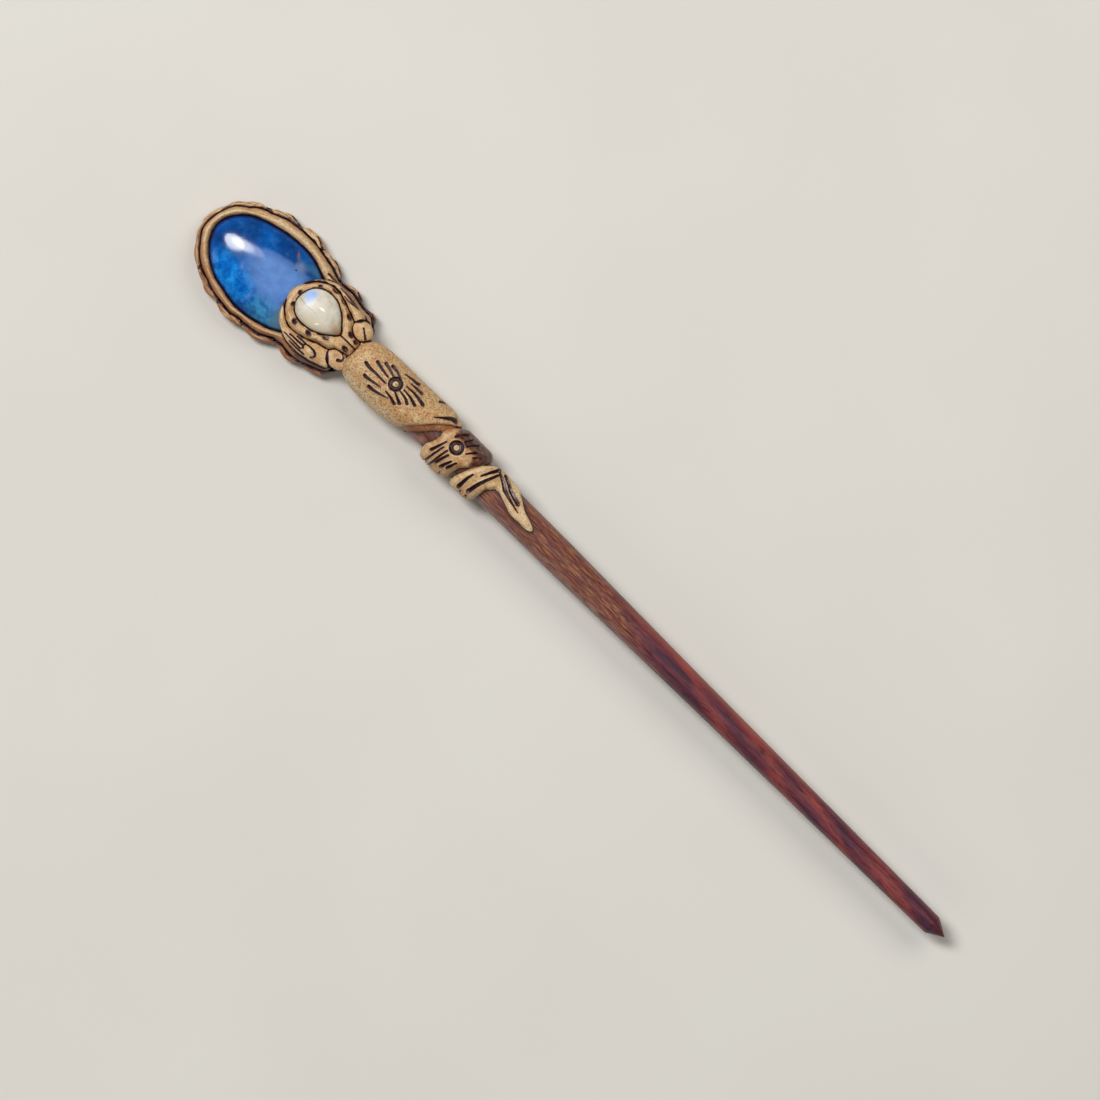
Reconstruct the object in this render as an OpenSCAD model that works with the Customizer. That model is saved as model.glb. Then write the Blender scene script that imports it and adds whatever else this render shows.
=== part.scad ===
// Hair stick: a tapered wooden stick under a clay head that holds an oval blue cabochon
// and a pear shaped moonstone, with a clay tendril wound round the stick below the grip.
// Millimetres. +X runs from the head to the point, +Z is up, and it lies on its back at Z = 0.

/* [Overall] */
// Length from the rim of the head to the point of the stick
total_l = 190; // [160:1:220]
// Clearance between pieces that sit against each other
gap = 0.06; // [0.04:0.01:0.1]
// Clearance under pieces that are laid over the domed stone
lay_gap = 0.12; // [0.1:0.01:0.2]

/* [Stick] */
// Diameter of the stick inside the grip
stick_d = 6.7; // [5.5:0.1:7]
// Diameter where the short point starts
tip_d = 3.86; // [3:0.1:4.5]
// Length of the conical point
point_l = 3.1; // [2:0.1:6]
// Thickness of the clay that closes the grip's upper end over the stick
cap_t = 3; // [2:0.5:8]

/* [Blue stone] */
// Length of the oval cabochon
stone_l = 26.2; // [22:0.1:30]
// Width of the oval cabochon
stone_w = 16.8; // [14:0.1:19]
// Height of the cabochon's straight side above the back plate
stone_side_h = 1.3; // [1:0.1:1.6]
// Height of the dome above that side
stone_dome_h = 3.7; // [3:0.1:4.2]
// Sideways offset of the cabochon from the stick's axis
stone_y = -0.7; // [-1:0.1:0]

/* [Back plate and rims] */
// Thickness of the clay back plate
plate_t = 2; // [1.6:0.1:2.6]
// Width of the roll of clay round the cabochon
bezel_w = 1.5; // [1.2:0.1:2]
// Height of that roll above the back plate
bezel_h = 3.15; // [2.8:0.05:3.5]
// Greatest width of the scalloped outer rim
ruffle_w = 1.45; // [1:0.05:2]
// Height of the scalloped rim
ruffle_h = 2.8; // [2:0.1:3]
// Width of the scalloped rim at the very end of the head
end_rim_w = 0.9; // [0.7:0.05:1.3]
// Length of the neck between the cabochon's end and the grip
neck_l = 8.15; // [7:0.1:10]
// Width of the neck
neck_w = 16; // [14.5:0.1:17]

/* [Moonstone and collar] */
// Length of the pear shaped stone
moon_l = 10.25; // [9:0.1:11]
// Width of the pear shaped stone
moon_w = 7.4; // [6:0.1:8]
// Height of the pear shaped stone above its seat
moon_h = 2.9; // [2:0.1:4]
// Sideways offset of the pear's middle from the stick's axis
moon_y = 1.15; // [0.9:0.05:1.4]
// Width of the dotted collar at the round end of the pear
collar_w = 1.8; // [1.5:0.1:2]
// Height of the collar's crest above what it lies on
collar_h = 2.3; // [2:0.1:2.8]
// Length of the collar's two tails beyond the pear's point
tail_l = 3.7; // [3.4:0.1:4.2]
// Greatest width of the lower wing
wing_w = 3.6; // [2.6:0.1:3.8]
// Height of the wings above the neck
wing_h = 1.55; // [1:0.05:2]
// Radius of the rolled scroll at the upper side of the neck
scroll_r = 1.75; // [1.4:0.05:1.8]
// Height of the scrolls above the neck
scroll_h = 2.4; // [1.6:0.1:3]

/* [Grip] */
// Length of the grip along the stick's axis
grip_l = 19.55; // [18:0.05:26]
// Width of the grip
grip_w = 10.4; // [9.4:0.1:12]
// Height of the grip, which rests on the table
grip_h = 9.8; // [9.4:0.1:12]
// Lean of the grip's lower end, as length along per width across
grip_lean = 0.95; // [0.8:0.05:1.2]

/* [Tendril] */
// Length from the grip's end to the tip of the leaf
tendril_l = 27.2; // [26:0.1:34]
// Greatest width of the wound band
band_w = 7.7; // [6:0.1:7.8]
// Thickness of the wound band
band_t = 1.5; // [1.1:0.05:1.5]
// Clearance between the wound band and the stick
wind_gap = 0.13; // [0.1:0.01:0.2]

/* [Hidden] */
axis_z = grip_h / 2;
head_hx = stone_l / 2 + bezel_w;
head_hy = stone_w / 2 + bezel_w;
stone_x = -total_l / 2 + end_rim_w + head_hx;
stone_end = stone_x + stone_l / 2;
grip_x0 = stone_end + neck_l;
grip_x1 = grip_x0 + grip_l;
stone_z = plate_t + gap;
girdle_z = stone_z + stone_side_h;
rim_z = plate_t * 0.25;
deck_z = plate_t + bezel_h;
moon_x0 = grip_x0 - tail_l - moon_l;
stick_r = stick_d / 2;
stick_x0 = grip_x0 + cap_t;
stick_x1 = total_l / 2;
clay = "#cfa670";
blue = "#1b58a8";
milk = "#d3ccbe";
wood = "#7b4132";

// Middle line of the groove between bezel and rim, from the neck's upper end round the head and back.
// Columns: along, across, in neck. On the head both are shares of its half length and half width from
// the cabochon's middle. In the neck they are shares of the neck's length and half width.
// Only the rim and the plate follow the first and the last row, where they turn in behind the scrolls.
groove_rows = [
    [1.02, 0.66, true],
    [0.97, 0.775, true],
    [0.66, 0.89, true],
    [0.2, 0.975, true],
    [-0.26, 0.945, true],
    [0.48, 0.93, false],
    [0.1, 1.03, false],
    [-0.31, 0.99, false],
    [-0.685, 0.79, false],
    [-0.91, 0.475, false],
    [-1, 0.07, false],
    [-0.97, -0.275, false],
    [-0.79, -0.667, false],
    [-0.445, -0.914, false],
    [-0.035, -0.97, false],
    [0.377, -0.92, false],
    [-0.38, -0.995, true],
    [0.05, -1.03, true],
    [0.54, -0.9, true],
    [0.957, -0.71, true],
    [1.01, -0.62, true]
];

// Notches between the scallops of the rim. Columns: place on the groove line, number of the notch.
notch_rows = [
    [0.3, 0], [2.4, 1], [4, 2], [5.45, 3], [6.6, 4], [7.8, 5], [9.3, 6],
    [10.8, 7], [12.3, 8], [13.55, 9], [14.6, 10], [16, 11], [17.5, 12], [19.7, 13]
];

// How far the scallops swell. Columns: place on the groove line, share of the rim's width.
swell_rows = [[1, 0.4], [4, 0.5], [6, 0.95], [8, 0.6], [10, 0.35], [12, 0.6], [14, 0.95], [16, 0.75], [19, 0.45]];

// How the rim dies out at the grip. Columns: place on the groove line, share of the rim's width and height.
fade_rows = [[0, 0.3], [1.2, 1], [18.8, 1], [20, 0.3]];

// Outline of the pear and of the collar round it, from the round end over the upper side.
// Columns: pear along, pear across, collar out along, collar out across, share of the tail.
// The first two are shares of the pear's length and half width, the next two of the collar's width.
pear_rows = [
    [0, -0.18, -1, 0.05, 0],
    [0.03, 0.28, -0.67, 0.45, 0],
    [0.107, 0.66, -0.22, 0.72, 0],
    [0.254, 0.93, 0, 0.8, 0],
    [0.43, 1, 0.11, 0.72, 0],
    [0.585, 0.92, 0.33, 0.58, 0],
    [0.7, 0.74, 0.3, 0.6, 0.18],
    [0.78, 0.58, 0.35, 0.55, 0.45],
    [0.85, 0.39, 0.15, 0.19, 0.64],
    [0.907, 0.216, 0, 0.08, 0.95],
    [0.961, 0.04, 0.3, 0.16, 1],
    [1, -0.12, 0.2, 0, 1],
    [0.946, -0.284, 0.5, -0.44, 1],
    [0.888, -0.42, 0.16, -0.55, 0.95],
    [0.82, -0.58, 0, -0.39, 0.84],
    [0.741, -0.716, 0.2, -0.66, 0.69],
    [0.654, -0.838, 0.4, -0.7, 0.29],
    [0.546, -0.946, 0.33, -0.97, 0.05],
    [0.39, -1, 0.11, -1.19, 0],
    [0.234, -0.973, -0.22, -1.22, 0],
    [0.107, -0.797, -0.5, -1, 0],
    [0.02, -0.5, -0.78, -0.56, 0]
];

// Width of each wing along the collar's outline. Columns: place on the pear rows, share of the wing's width.
upper_wing_rows = [[1, 0.06], [2, 0.14], [3, 0.17], [4, 0.28], [5, 0.42], [6, 0.5], [7, 0.5]];
lower_wing_rows = [[15, 0.9], [16, 1], [17, 0.87], [18, 0.66], [19, 0.4], [20, 0.22], [21, 0.07]];

// Stick taper. Columns: share of the length, share of the way from the full to the tip radius.
taper_rows = [[0, 0], [0.26, 0.04], [0.35, 0.09], [0.42, 0.23], [0.485, 0.34], [0.585, 0.51], [0.76, 0.73], [1, 1]];

// Sections of the grip. Columns: along, lean, upper half width, lower half width, half height.
// Along is a share of the grip's length, the rest are shares of its full lean, half width and half height.
grip_rows = [
    [0, 0, 0.42, 0.35, 0.45],
    [0.03, 0, 0.67, 0.63, 0.68],
    [0.095, 0, 0.86, 0.8, 0.86],
    [0.2, 0.05, 0.98, 0.9, 0.96],
    [0.35, 0.15, 1.02, 0.95, 1],
    [0.525, 0.33, 1.03, 0.95, 1],
    [0.69, 0.52, 1.04, 0.93, 1],
    [0.84, 0.76, 1.06, 0.87, 0.98],
    [0.937, 0.9, 1.08, 0.8, 0.95],
    [0.98, 0.95, 0.98, 0.75, 0.88],
    [1, 1, 0.83, 0.7, 0.76]
];

// Course of the tendril, unrolled. Columns: along, turn, half width, thickness.
// Along is a share of the tendril's length, the turn is in degrees from the upper side over the top,
// and the last two are shares of the band's half width and thickness.
tendril_rows = [
    [0.172, 322, 0.2, 0.75],
    [0.132, 295, 0.38, 0.9],
    [0.114, 262, 0.64, 0.95],
    [0.155, 222, 0.8, 1],
    [0.202, 180, 0.86, 1],
    [0.206, 138, 0.88, 1],
    [0.238, 90, 0.87, 1],
    [0.305, 45, 0.98, 1],
    [0.331, 0, 1, 0.97],
    [0.35, -45, 0.9, 0.9],
    [0.383, -90, 0.8, 0.85],
    [0.42, -135, 0.73, 0.82],
    [0.458, -180, 0.68, 0.82],
    [0.472, -225, 0.66, 0.82],
    [0.501, -270, 0.58, 0.8],
    [0.538, -290, 0.58, 0.72],
    [0.578, -308, 0.62, 0.62],
    [0.636, -316, 0.65, 0.55],
    [0.694, -310, 0.6, 0.52],
    [0.743, -298, 0.51, 0.5],
    [0.798, -287, 0.42, 0.48],
    [0.853, -278.5, 0.31, 0.44],
    [0.927, -271, 0.24, 0.38],
    [0.978, -267.5, 0.17, 0.3],
    [1, -266, 0.05, 0.2]
];

// A smooth curve through b and c, led by its neighbours a and d.
function curve(a, b, c, d, t) =
    0.5 * (2 * b + (c - a) * t + (2 * a - 5 * b + 4 * c - d) * t * t + (3 * b - a - 3 * c + d) * t * t * t);

// The point at place s of an open list, where whole numbers are its rows.
function open_at(list, s) =
    let (last = len(list) - 1, i = min(floor(s), last - 1))
    curve(list[max(i - 1, 0)], list[i], list[i + 1], list[min(i + 2, last)], s - i);

// The same on a closed list.
function loop_at(list, s) =
    let (n = len(list), i = floor(s))
    curve(list[(i + n - 1) % n], list[i % n], list[(i + 1) % n], list[(i + 2) % n], s - i);

function unit(v) = v / norm(v);
function left_of(v) = [-v[1], v[0]];
function middle(ring) = [for (k = [0:2]) [for (p = ring) 1] * [for (p = ring) p[k]] / len(ring)];

// A solid through rings of equally many points, closed at both ends round a hub.
module skin(rings, first_hub, last_hub) {
    n = len(rings[0]);
    m = len(rings);
    hubs = [is_undef(first_hub) ? middle(rings[0]) : first_hub, is_undef(last_hub) ? middle(rings[m - 1]) : last_hub];
    sides = [for (i = [0:m - 2]) for (j = [0:n - 1])
        let (a = i * n + j, b = i * n + (j + 1) % n)
        each [[a, a + n, b + n], [a, b + n, b]]];
    first_cap = [for (j = [0:n - 1]) [m * n, j, (j + 1) % n]];
    last_cap = [for (j = [0:n - 1]) [m * n + 1, (m - 1) * n + (j + 1) % n, (m - 1) * n + j]];
    polyhedron(concat([for (r = rings) each r], hubs), concat(sides, first_cap, last_cap));
}

groove_points = [for (r = groove_rows)
    r[2] ? [stone_end + r[0] * neck_l, r[1] * neck_w / 2] : [stone_x + r[0] * head_hx, stone_y + r[1] * head_hy]];
groove_last = len(groove_points) - 1;

function groove_at(s) = open_at(groove_points, s);
// Outward direction of the groove line, which runs round the head against the clock.
function groove_out(s) =
    let (a = max(s - 0.05, 0), b = min(s + 0.05, groove_last))
    -left_of(unit(groove_at(b) - groove_at(a)));

// How far inward the bezel reaches from the groove line: to the cabochon, or a strip's width in the neck.
function bezel_reach(s) =
    let (
        p = groove_at(s) - [stone_x, stone_y],
        d = -groove_out(s),
        ax = stone_l / 2 + gap,
        ay = stone_w / 2 + gap,
        a = pow(d[0] / ax, 2) + pow(d[1] / ay, 2),
        b = 2 * (p[0] * d[0] / ax / ax + p[1] * d[1] / ay / ay),
        c = pow(p[0] / ax, 2) + pow(p[1] / ay, 2) - 1,
        root = b * b - 4 * a * c,
        widest = bezel_w * 1.35
    )
    root < 0 ? widest : min(widest, (-b - sqrt(root)) / 2 / a);

// Height of the cabochon's dome over a point, or zero beside it.
function dome_z(p) =
    let (k = 1 - pow((p[0] - stone_x) / stone_l * 2, 2) - pow((p[1] - stone_y) / stone_w * 2, 2))
    k > 0 ? girdle_z + stone_dome_h * sqrt(k) : 0;

// Height of whatever lies under the collar and the wings.
function bed_z(p) = max(deck_z, dome_z(p)) + lay_gap;

pear_points = [for (r = pear_rows) [moon_x0 + r[0] * moon_l, moon_y + r[1] * moon_w / 2]];
collar_points = [for (i = [0:len(pear_rows) - 1])
    let (r = pear_rows[i], p = pear_points[i] + collar_w * [r[2], r[3]] + [r[4] * tail_l, 0])
    [min(p[0], grip_x0 - 2 * gap), p[1]]];
pear_steps = [0:0.5:len(pear_rows) - 0.5];

function pear_at(s) = loop_at(pear_points, s);
function collar_at(s) = let (p = loop_at(collar_points, s)) [min(p[0], grip_x0 - 2 * gap), p[1]];
function collar_out(s) =
    let (n = len(pear_rows))
    left_of(unit(collar_at((s + 0.1) % n) - collar_at((s + n - 0.1) % n)));
pear_hub = [moon_x0 + 0.45 * moon_l, moon_y];
seat_z = dome_z([moon_x0, moon_y]) + lay_gap + 0.2;

module stick() {
    profile = [for (r = taper_rows)
        [stick_r + (tip_d / 2 - stick_r) * r[1], stick_x0 + r[0] * (stick_x1 - point_l - stick_x0)]];
    color(wood)
        translate([0, 0, axis_z])
            rotate([0, 90, 0])
                rotate_extrude($fn = 64)
                    polygon(concat([[0, stick_x0]], profile, [[0, stick_x1]]));
}

module back_plate() {
    hub = [stone_x + 0.3 * head_hx, stone_y];
    foot = end_rim_w * 0.4;
    // Columns: distance out from the groove line, height. The foot runs under the scalloped rim.
    rings = [for (k = [[foot * 0.4, 0], [foot, rim_z * 0.4], [foot, rim_z - gap], [-gap, rim_z - gap],
            [-gap, plate_t - rim_z * 0.4], [-gap - rim_z * 0.4, plate_t]])
        [for (s = [0:0.25:groove_last])
            let (q = groove_at(s) + k[0] * groove_out(s)) [q[0], q[1], k[1]]]];
    neck_start = stone_end + gap;
    upper = [for (s = [1:0.25:3.5]) groove_at(s) - (bezel_reach(s) + gap) * groove_out(s)];
    lower = [for (s = [groove_last - 3.5:0.25:groove_last - 1])
        groove_at(s) - (bezel_reach(s) + gap) * groove_out(s)];
    color(clay)
        union() {
            skin(rings, [hub[0], hub[1], 0], [hub[0], hub[1], plate_t]);
            linear_extrude(deck_z)
                polygon(concat(
                    [for (p = upper) if (p[0] > neck_start) p],
                    [for (p = lower) if (p[0] > neck_start) p],
                    [[grip_x0 - gap, lower[len(lower) - 1][1]], [grip_x0 - gap, upper[0][1]]]));
        }
}

module ruffle() {
    rings = [for (s = [0:0.166667:groove_last + 0.01])
        let (
            at = min(s, groove_last),
            scallop = abs(sin(180 * lookup(at, notch_rows))),
            notch_w = end_rim_w * 0.62,
            fade = lookup(at, fade_rows),
            w = (notch_w + (ruffle_w - notch_w) * scallop * lookup(at, swell_rows)) * fade,
            p = groove_at(at),
            out = groove_out(at)
        )
        [for (k = [[0, 0.86], [0.4, 1], [0.72, 0.93], [0.96, 0.68], [1, 0.3], [0.7, 0.02], [0, 0]])
            let (q = p + out * (gap + k[0] * w)) [q[0], q[1], rim_z + k[1] * ruffle_h * sqrt(fade)]]];
    color(clay)
        skin(rings);
}

module bezel() {
    rings = [for (s = [1:0.25:groove_last - 1])
        let (p = groove_at(s), out = groove_out(s), reach = bezel_reach(s))
        [for (k = [[1, 0], [1, 0.66], [0.78, 0.92], [0.45, 1], [0.16, 0.82], [0, 0.5], [0, 0]])
            let (q = p - out * (2 * gap + k[0] * (reach - 2 * gap)))
            [q[0], q[1], plate_t + gap + k[1] * (bezel_h - gap)]]];
    color(clay)
        skin(rings);
}

module blue_stone() {
    levels = concat([[0.97, stone_z], [1, stone_z + 0.3 * stone_side_h], [1, girdle_z]],
        [for (a = [16:16:80]) [cos(a), girdle_z + stone_dome_h * sin(a)]]);
    rings = [for (k = levels)
        [for (a = [0:7.5:359]) [stone_x + k[0] * stone_l / 2 * cos(a), stone_y + k[0] * stone_w / 2 * sin(a), k[1]]]];
    color(blue)
        skin(rings, [stone_x, stone_y, stone_z], [stone_x, stone_y, girdle_z + stone_dome_h]);
}

module collar() {
    // Shares of the way from the hub to the rim, under the collar.
    under = [for (k = [0.25, 0.5, 0.75, 1])
        [for (s = pear_steps) let (q = pear_hub + k * (collar_at(s) - pear_hub)) [q[0], q[1], bed_z(q)]]];
    // Columns: share of the way from the rim to the pear, share of the collar's height.
    band = [for (k = [[0, 0.36], [0.12, 0.72], [0.42, 1], [0.78, 0.96], [1, 0.78]])
        [for (s = pear_steps)
            let (rim = collar_at(s), pear = pear_at(s) + 2 * gap * collar_out(s), q = rim + k[0] * (pear - rim))
            [q[0], q[1], max(deck_z + k[1] * collar_h, bed_z(rim) + k[1] * collar_h * 0.55)]]];
    seat = [for (s = pear_steps) let (q = pear_at(s) + 2 * gap * collar_out(s)) [q[0], q[1], seat_z]];
    color(clay)
        skin([for (r = concat(under, band, [seat])) [for (i = [len(r) - 1:-1:0]) r[i]]],
            [pear_hub[0], pear_hub[1], bed_z(pear_hub)], [pear_hub[0], pear_hub[1], seat_z]);
}

module moonstone() {
    side = 0.22 * moon_h;
    levels = concat([[0.95, 0], [1, 0.4 * side], [1, side]],
        [for (a = [18:18:72]) [cos(a), side + (moon_h - side) * sin(a)]]);
    rings = [for (k = levels)
        [for (i = [len(pear_rows) * 2 - 1:-1:0])
            let (q = pear_hub + k[0] * (pear_at(i / 2) - pear_hub)) [q[0], q[1], seat_z + gap + k[1]]]];
    color(milk)
        skin(rings, [pear_hub[0], pear_hub[1], seat_z + gap], [pear_hub[0], pear_hub[1], seat_z + gap + moon_h]);
}

// A leaf that widens along the collar's outline, between two places of the pear rows.
module wing(rows) {
    first = rows[0][0];
    last = rows[len(rows) - 1][0];
    rings = [for (s = [first:0.5:last])
        let (p = collar_at(s), out = collar_out(s), w = lookup(s, rows) * wing_w)
        [for (k = [[0, 0], [0.5, 0], [1, 0], [1, 0.35], [0.8, 0.85], [0.5, 1], [0.2, 0.9], [0, 0.5]])
            let (q = p + out * (gap + k[0] * w), rise = min(wing_h, 0.35 + w))
            [q[0], q[1], bed_z(q) + k[1] * rise]]];
    color(clay)
        skin(rings);
}

module wing_upper() {
    wing(upper_wing_rows);
}

module wing_lower() {
    wing(lower_wing_rows);
}

// A domed roll of clay on the neck.
module scroll(x, y, r) {
    rings = [for (k = [[0.86, 0], [1, 0.22], [0.97, 0.5], [0.78, 0.84], [0.42, 1]])
        [for (a = [0:18:359]) [x + k[0] * r * cos(a), y + k[0] * r * sin(a), deck_z + gap + k[1] * scroll_h]]];
    color(clay)
        skin(rings);
}

module scroll_upper() {
    scroll(grip_x0 - 0.72 * scroll_r, moon_y + 1.77 * scroll_r, scroll_r);
}

module scroll_lower() {
    scroll(grip_x0 - 0.72 * scroll_r, moon_y - 2.43 * scroll_r, 0.9 * scroll_r);
}

module grip() {
    outside = [for (r = grip_rows)
        [for (a = [0:9:359])
            let (
                half = (cos(a) > 0 ? r[2] : r[3]) * grip_w / 2,
                y = half * cos(a),
                x = grip_x0 + r[0] * grip_l + r[1] * grip_lean * y
            )
            [x, y, axis_z + r[4] * grip_h / 2 * sin(a)]]];
    bore = (stick_r + gap) / cos(4.5);
    mouth = [for (a = [0:9:359]) [grip_x1 + grip_lean * bore * cos(a), bore * cos(a), axis_z + bore * sin(a)]];
    depth = [for (a = [0:9:359]) [stick_x0 - gap, bore * cos(a), axis_z + bore * sin(a)]];
    color(clay)
        skin(concat(outside, [mouth, depth]), [grip_x0, 0, axis_z], [stick_x0 - gap, 0, axis_z]);
}

module tendril() {
    roll_r = stick_r + band_t / 2;
    course = [for (r = tendril_rows)
        [grip_x1 + r[0] * tendril_l, r[1] * PI / 180 * roll_r, r[2] * band_w / 2, r[3] * band_t]];
    last = len(course) - 1;
    rings = [for (s = [0:0.25:last])
        let (
            c = open_at(course, s),
            ahead = open_at(course, min(s + 0.05, last)),
            behind = open_at(course, max(s - 0.05, 0)),
            side = left_of(unit([ahead[0] - behind[0], ahead[1] - behind[1]])),
            inside_r = stick_r + wind_gap
        )
        [for (k = [[-1, 0], [-1, 0.4], [-0.8, 0.86], [-0.4, 1], [0.4, 1], [0.8, 0.86], [1, 0.4], [1, 0], [0.5, 0], [0, 0], [-0.5, 0]])
            let (
                x = c[0] + side[0] * k[0] * c[2],
                a = (c[1] + side[1] * k[0] * c[2]) / roll_r * 180 / PI,
                r = inside_r + k[1] * c[3]
            )
            [x, r * cos(a), axis_z + r * sin(a)]]];
    color(clay)
        skin(rings);
}

stick();
back_plate();
ruffle();
bezel();
blue_stone();
collar();
moonstone();
wing_upper();
wing_lower();
scroll_upper();
scroll_lower();
grip();
tendril();
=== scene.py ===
# %% [markdown]
# # Hair stick
# This notebook dresses a imported model of a hair stick: a tapered wooden stick, a baked clay head with an
# oval blue cabochon and a pear shaped moonstone, a clay grip and a clay tendril wound round the stick.
# The rigid solids come from model.glb. What they lack is the maker's hand: pressed lines, poked dots, a
# stamped ring, dark stain left in every groove, grain in the wood and a live polish on the stones.

import math

import bmesh
import bpy
import numpy as np
from mathutils import Matrix, Vector
from mathutils.bvhtree import BVHTree


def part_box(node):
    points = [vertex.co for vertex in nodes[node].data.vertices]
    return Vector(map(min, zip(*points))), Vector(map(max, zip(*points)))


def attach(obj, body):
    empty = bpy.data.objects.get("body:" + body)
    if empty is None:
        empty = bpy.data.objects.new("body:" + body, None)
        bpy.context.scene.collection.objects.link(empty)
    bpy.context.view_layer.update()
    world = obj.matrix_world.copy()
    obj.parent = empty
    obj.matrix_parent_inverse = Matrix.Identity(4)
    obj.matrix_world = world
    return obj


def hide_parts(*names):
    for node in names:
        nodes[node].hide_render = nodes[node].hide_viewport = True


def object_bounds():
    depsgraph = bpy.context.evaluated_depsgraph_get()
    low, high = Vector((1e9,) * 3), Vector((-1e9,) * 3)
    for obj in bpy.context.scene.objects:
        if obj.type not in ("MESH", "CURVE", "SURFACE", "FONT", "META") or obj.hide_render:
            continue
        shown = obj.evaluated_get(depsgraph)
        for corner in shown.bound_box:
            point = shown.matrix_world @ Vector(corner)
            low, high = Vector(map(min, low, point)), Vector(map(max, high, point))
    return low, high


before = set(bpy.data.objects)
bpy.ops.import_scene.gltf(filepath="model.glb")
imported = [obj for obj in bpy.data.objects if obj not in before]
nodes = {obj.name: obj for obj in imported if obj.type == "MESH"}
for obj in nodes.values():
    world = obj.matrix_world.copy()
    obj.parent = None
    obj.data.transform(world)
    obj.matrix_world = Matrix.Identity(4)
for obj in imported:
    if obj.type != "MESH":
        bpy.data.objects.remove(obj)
cad_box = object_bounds()
MM = 0.001
print("nodes:", ", ".join(sorted(nodes)))
print("CAD box in mm:", [[round(v / MM, 2) for v in corner] for corner in cad_box])

# %% [markdown]
# ## Camera
# The photograph looks straight down, with the stick lying from the upper left to the lower right. A camera
# could be aimed with a constraint, but it's plainer to write its three axes: right, up and backwards. A long
# lens from 1.3 m keeps the tall stones from leaning outwards. The Standard view shows each colour as it is
# written, where Blender's usual AgX view would soften the deep blues and browns.

# %% Camera
PHOTO_WIDTH = 202.5 * MM
CAMERA_HEIGHT = 1300 * MM
STICK_HEIGHT = 4.9 * MM
IMAGE_CENTRE = Vector((-6.7 * MM, -0.3 * MM, STICK_HEIGHT))
STICK_SLOPE = math.radians(44.64)
SENSOR = 36.0

camera_data = bpy.data.cameras.new("camera")
camera_data.sensor_width = SENSOR
camera_data.lens = SENSOR * CAMERA_HEIGHT / PHOTO_WIDTH
camera_data.clip_start = 0.01
camera = bpy.data.objects.new("camera", camera_data)
bpy.context.scene.collection.objects.link(camera)
right = Vector((math.cos(STICK_SLOPE), math.sin(STICK_SLOPE), 0))
up = Vector((-math.sin(STICK_SLOPE), math.cos(STICK_SLOPE), 0))
turn = Matrix((right, up, Vector((0, 0, 1)))).transposed()
camera.matrix_world = Matrix.Translation(IMAGE_CENTRE + Vector((0, 0, CAMERA_HEIGHT))) @ turn.to_4x4()
bpy.context.scene.camera = camera
bpy.context.scene.view_settings.view_transform = "Standard"
print("lens in mm:", round(camera_data.lens, 1))

# %% [markdown]
# ## Helpers for materials
# A material is a small graph. One function adds any node with its settings and links, so each material below
# reads as a list of what it's made from. Colours are written as sRGB hex, as a colour picker shows them, and
# turned to the linear values that the shader needs. Some sockets go by number: a Map Range takes its value
# at 0, the range that it comes from at 1 and 2, and the range that it goes to at 3 and 4.

# %% Helpers for materials
SMOOTH = {"interpolation_type": "SMOOTHSTEP"}


def linear(hex_colour):
    """The linear RGBA of an sRGB colour such as #d2a870."""
    parts = [int(hex_colour[i : i + 2], 16) / 255 for i in (1, 3, 5)]
    return [c / 12.92 if c <= 0.04045 else ((c + 0.055) / 1.055) ** 2.4 for c in parts] + [1.0]


def add(tree, kind, inputs=None, stops=(), **settings):
    """A new node. inputs maps a socket's name or number to a value, a hex colour, a node or its output.

    stops are the (place, hex colour) pairs of a colour ramp.
    """
    node = tree.nodes.new("ShaderNode" + kind)
    for name, value in settings.items():
        setattr(node, name, value)
    for name, value in (inputs or {}).items():
        if isinstance(value, bpy.types.Node):
            value = value.outputs[0]
        if isinstance(value, bpy.types.NodeSocket):
            tree.links.new(value, node.inputs[name])
        else:
            node.inputs[name].default_value = linear(value) if isinstance(value, str) else value
    if stops:
        elements = node.color_ramp.elements
        node.color_ramp.interpolation = "EASE"
        while len(elements) < len(stops):
            elements.new(1.0)
        for element, (place, colour) in zip(elements, stops):
            element.position = place
            element.color = linear(colour)
    return node


def paint(tree, base, *layers):
    """Lays colours over a base. A layer is (colour, mask, ...), and shows where all of its masks do."""
    for colour, mask, *others in layers:
        for other in others:
            mask = add(tree, "Math", {0: mask, 1: other}, operation="MULTIPLY")
        base = add(tree, "Mix", {0: mask, 6: base, 7: colour}, data_type="RGBA").outputs[2]
    return base


def spot(tree, place, centre, radii, inner=0.1, outer=1.2, turned=0):
    """A mask that is 1 inside an ellipse of the plan view and fades to 0, in millimetres and degrees."""
    laid = {
        "Vector": place,
        "Location": (centre[0] * MM, centre[1] * MM, 0),
        "Rotation": (0, 0, math.radians(turned)),
        "Scale": (radii[0] * MM, radii[1] * MM, 1.0),
    }
    unit = add(tree, "Mapping", laid, vector_type="TEXTURE")
    far = add(tree, "VectorMath", {0: unit}, operation="LENGTH").outputs["Value"]
    return add(tree, "MapRange", {0: far, 1: inner, 2: outer, 3: 1.0, 4: 0.0}, **SMOOTH)


def new_material(name, roughness=0.5, ior=1.5):
    """A material, its tree, its shader and the Object coordinates that its patterns read."""
    material = bpy.data.materials.new(name)
    material.use_nodes = True
    tree = material.node_tree
    shader = tree.nodes["Principled BSDF"]
    shader.inputs["Roughness"].default_value = roughness
    shader.inputs["IOR"].default_value = ior
    return material, tree, shader, add(tree, "TexCoord").outputs["Object"]


# %% [markdown]
# ## Baked polymer clay
# The clay is a plasticised vinyl that is shaped soft and then baked hard. Its colour goes all through, its
# surface is satin, and fingerprints and tool marks stay in it. The maker rubbed dark brown paint over it and
# wiped it off, so the paint stays in each groove and darkens low places. That stain could be painted as an
# image, but here each piece carries it as an attribute on its points, worked out from its own shape. The
# grip was dabbed with something coarse, which gives it a leathery, pitted skin.

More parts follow.
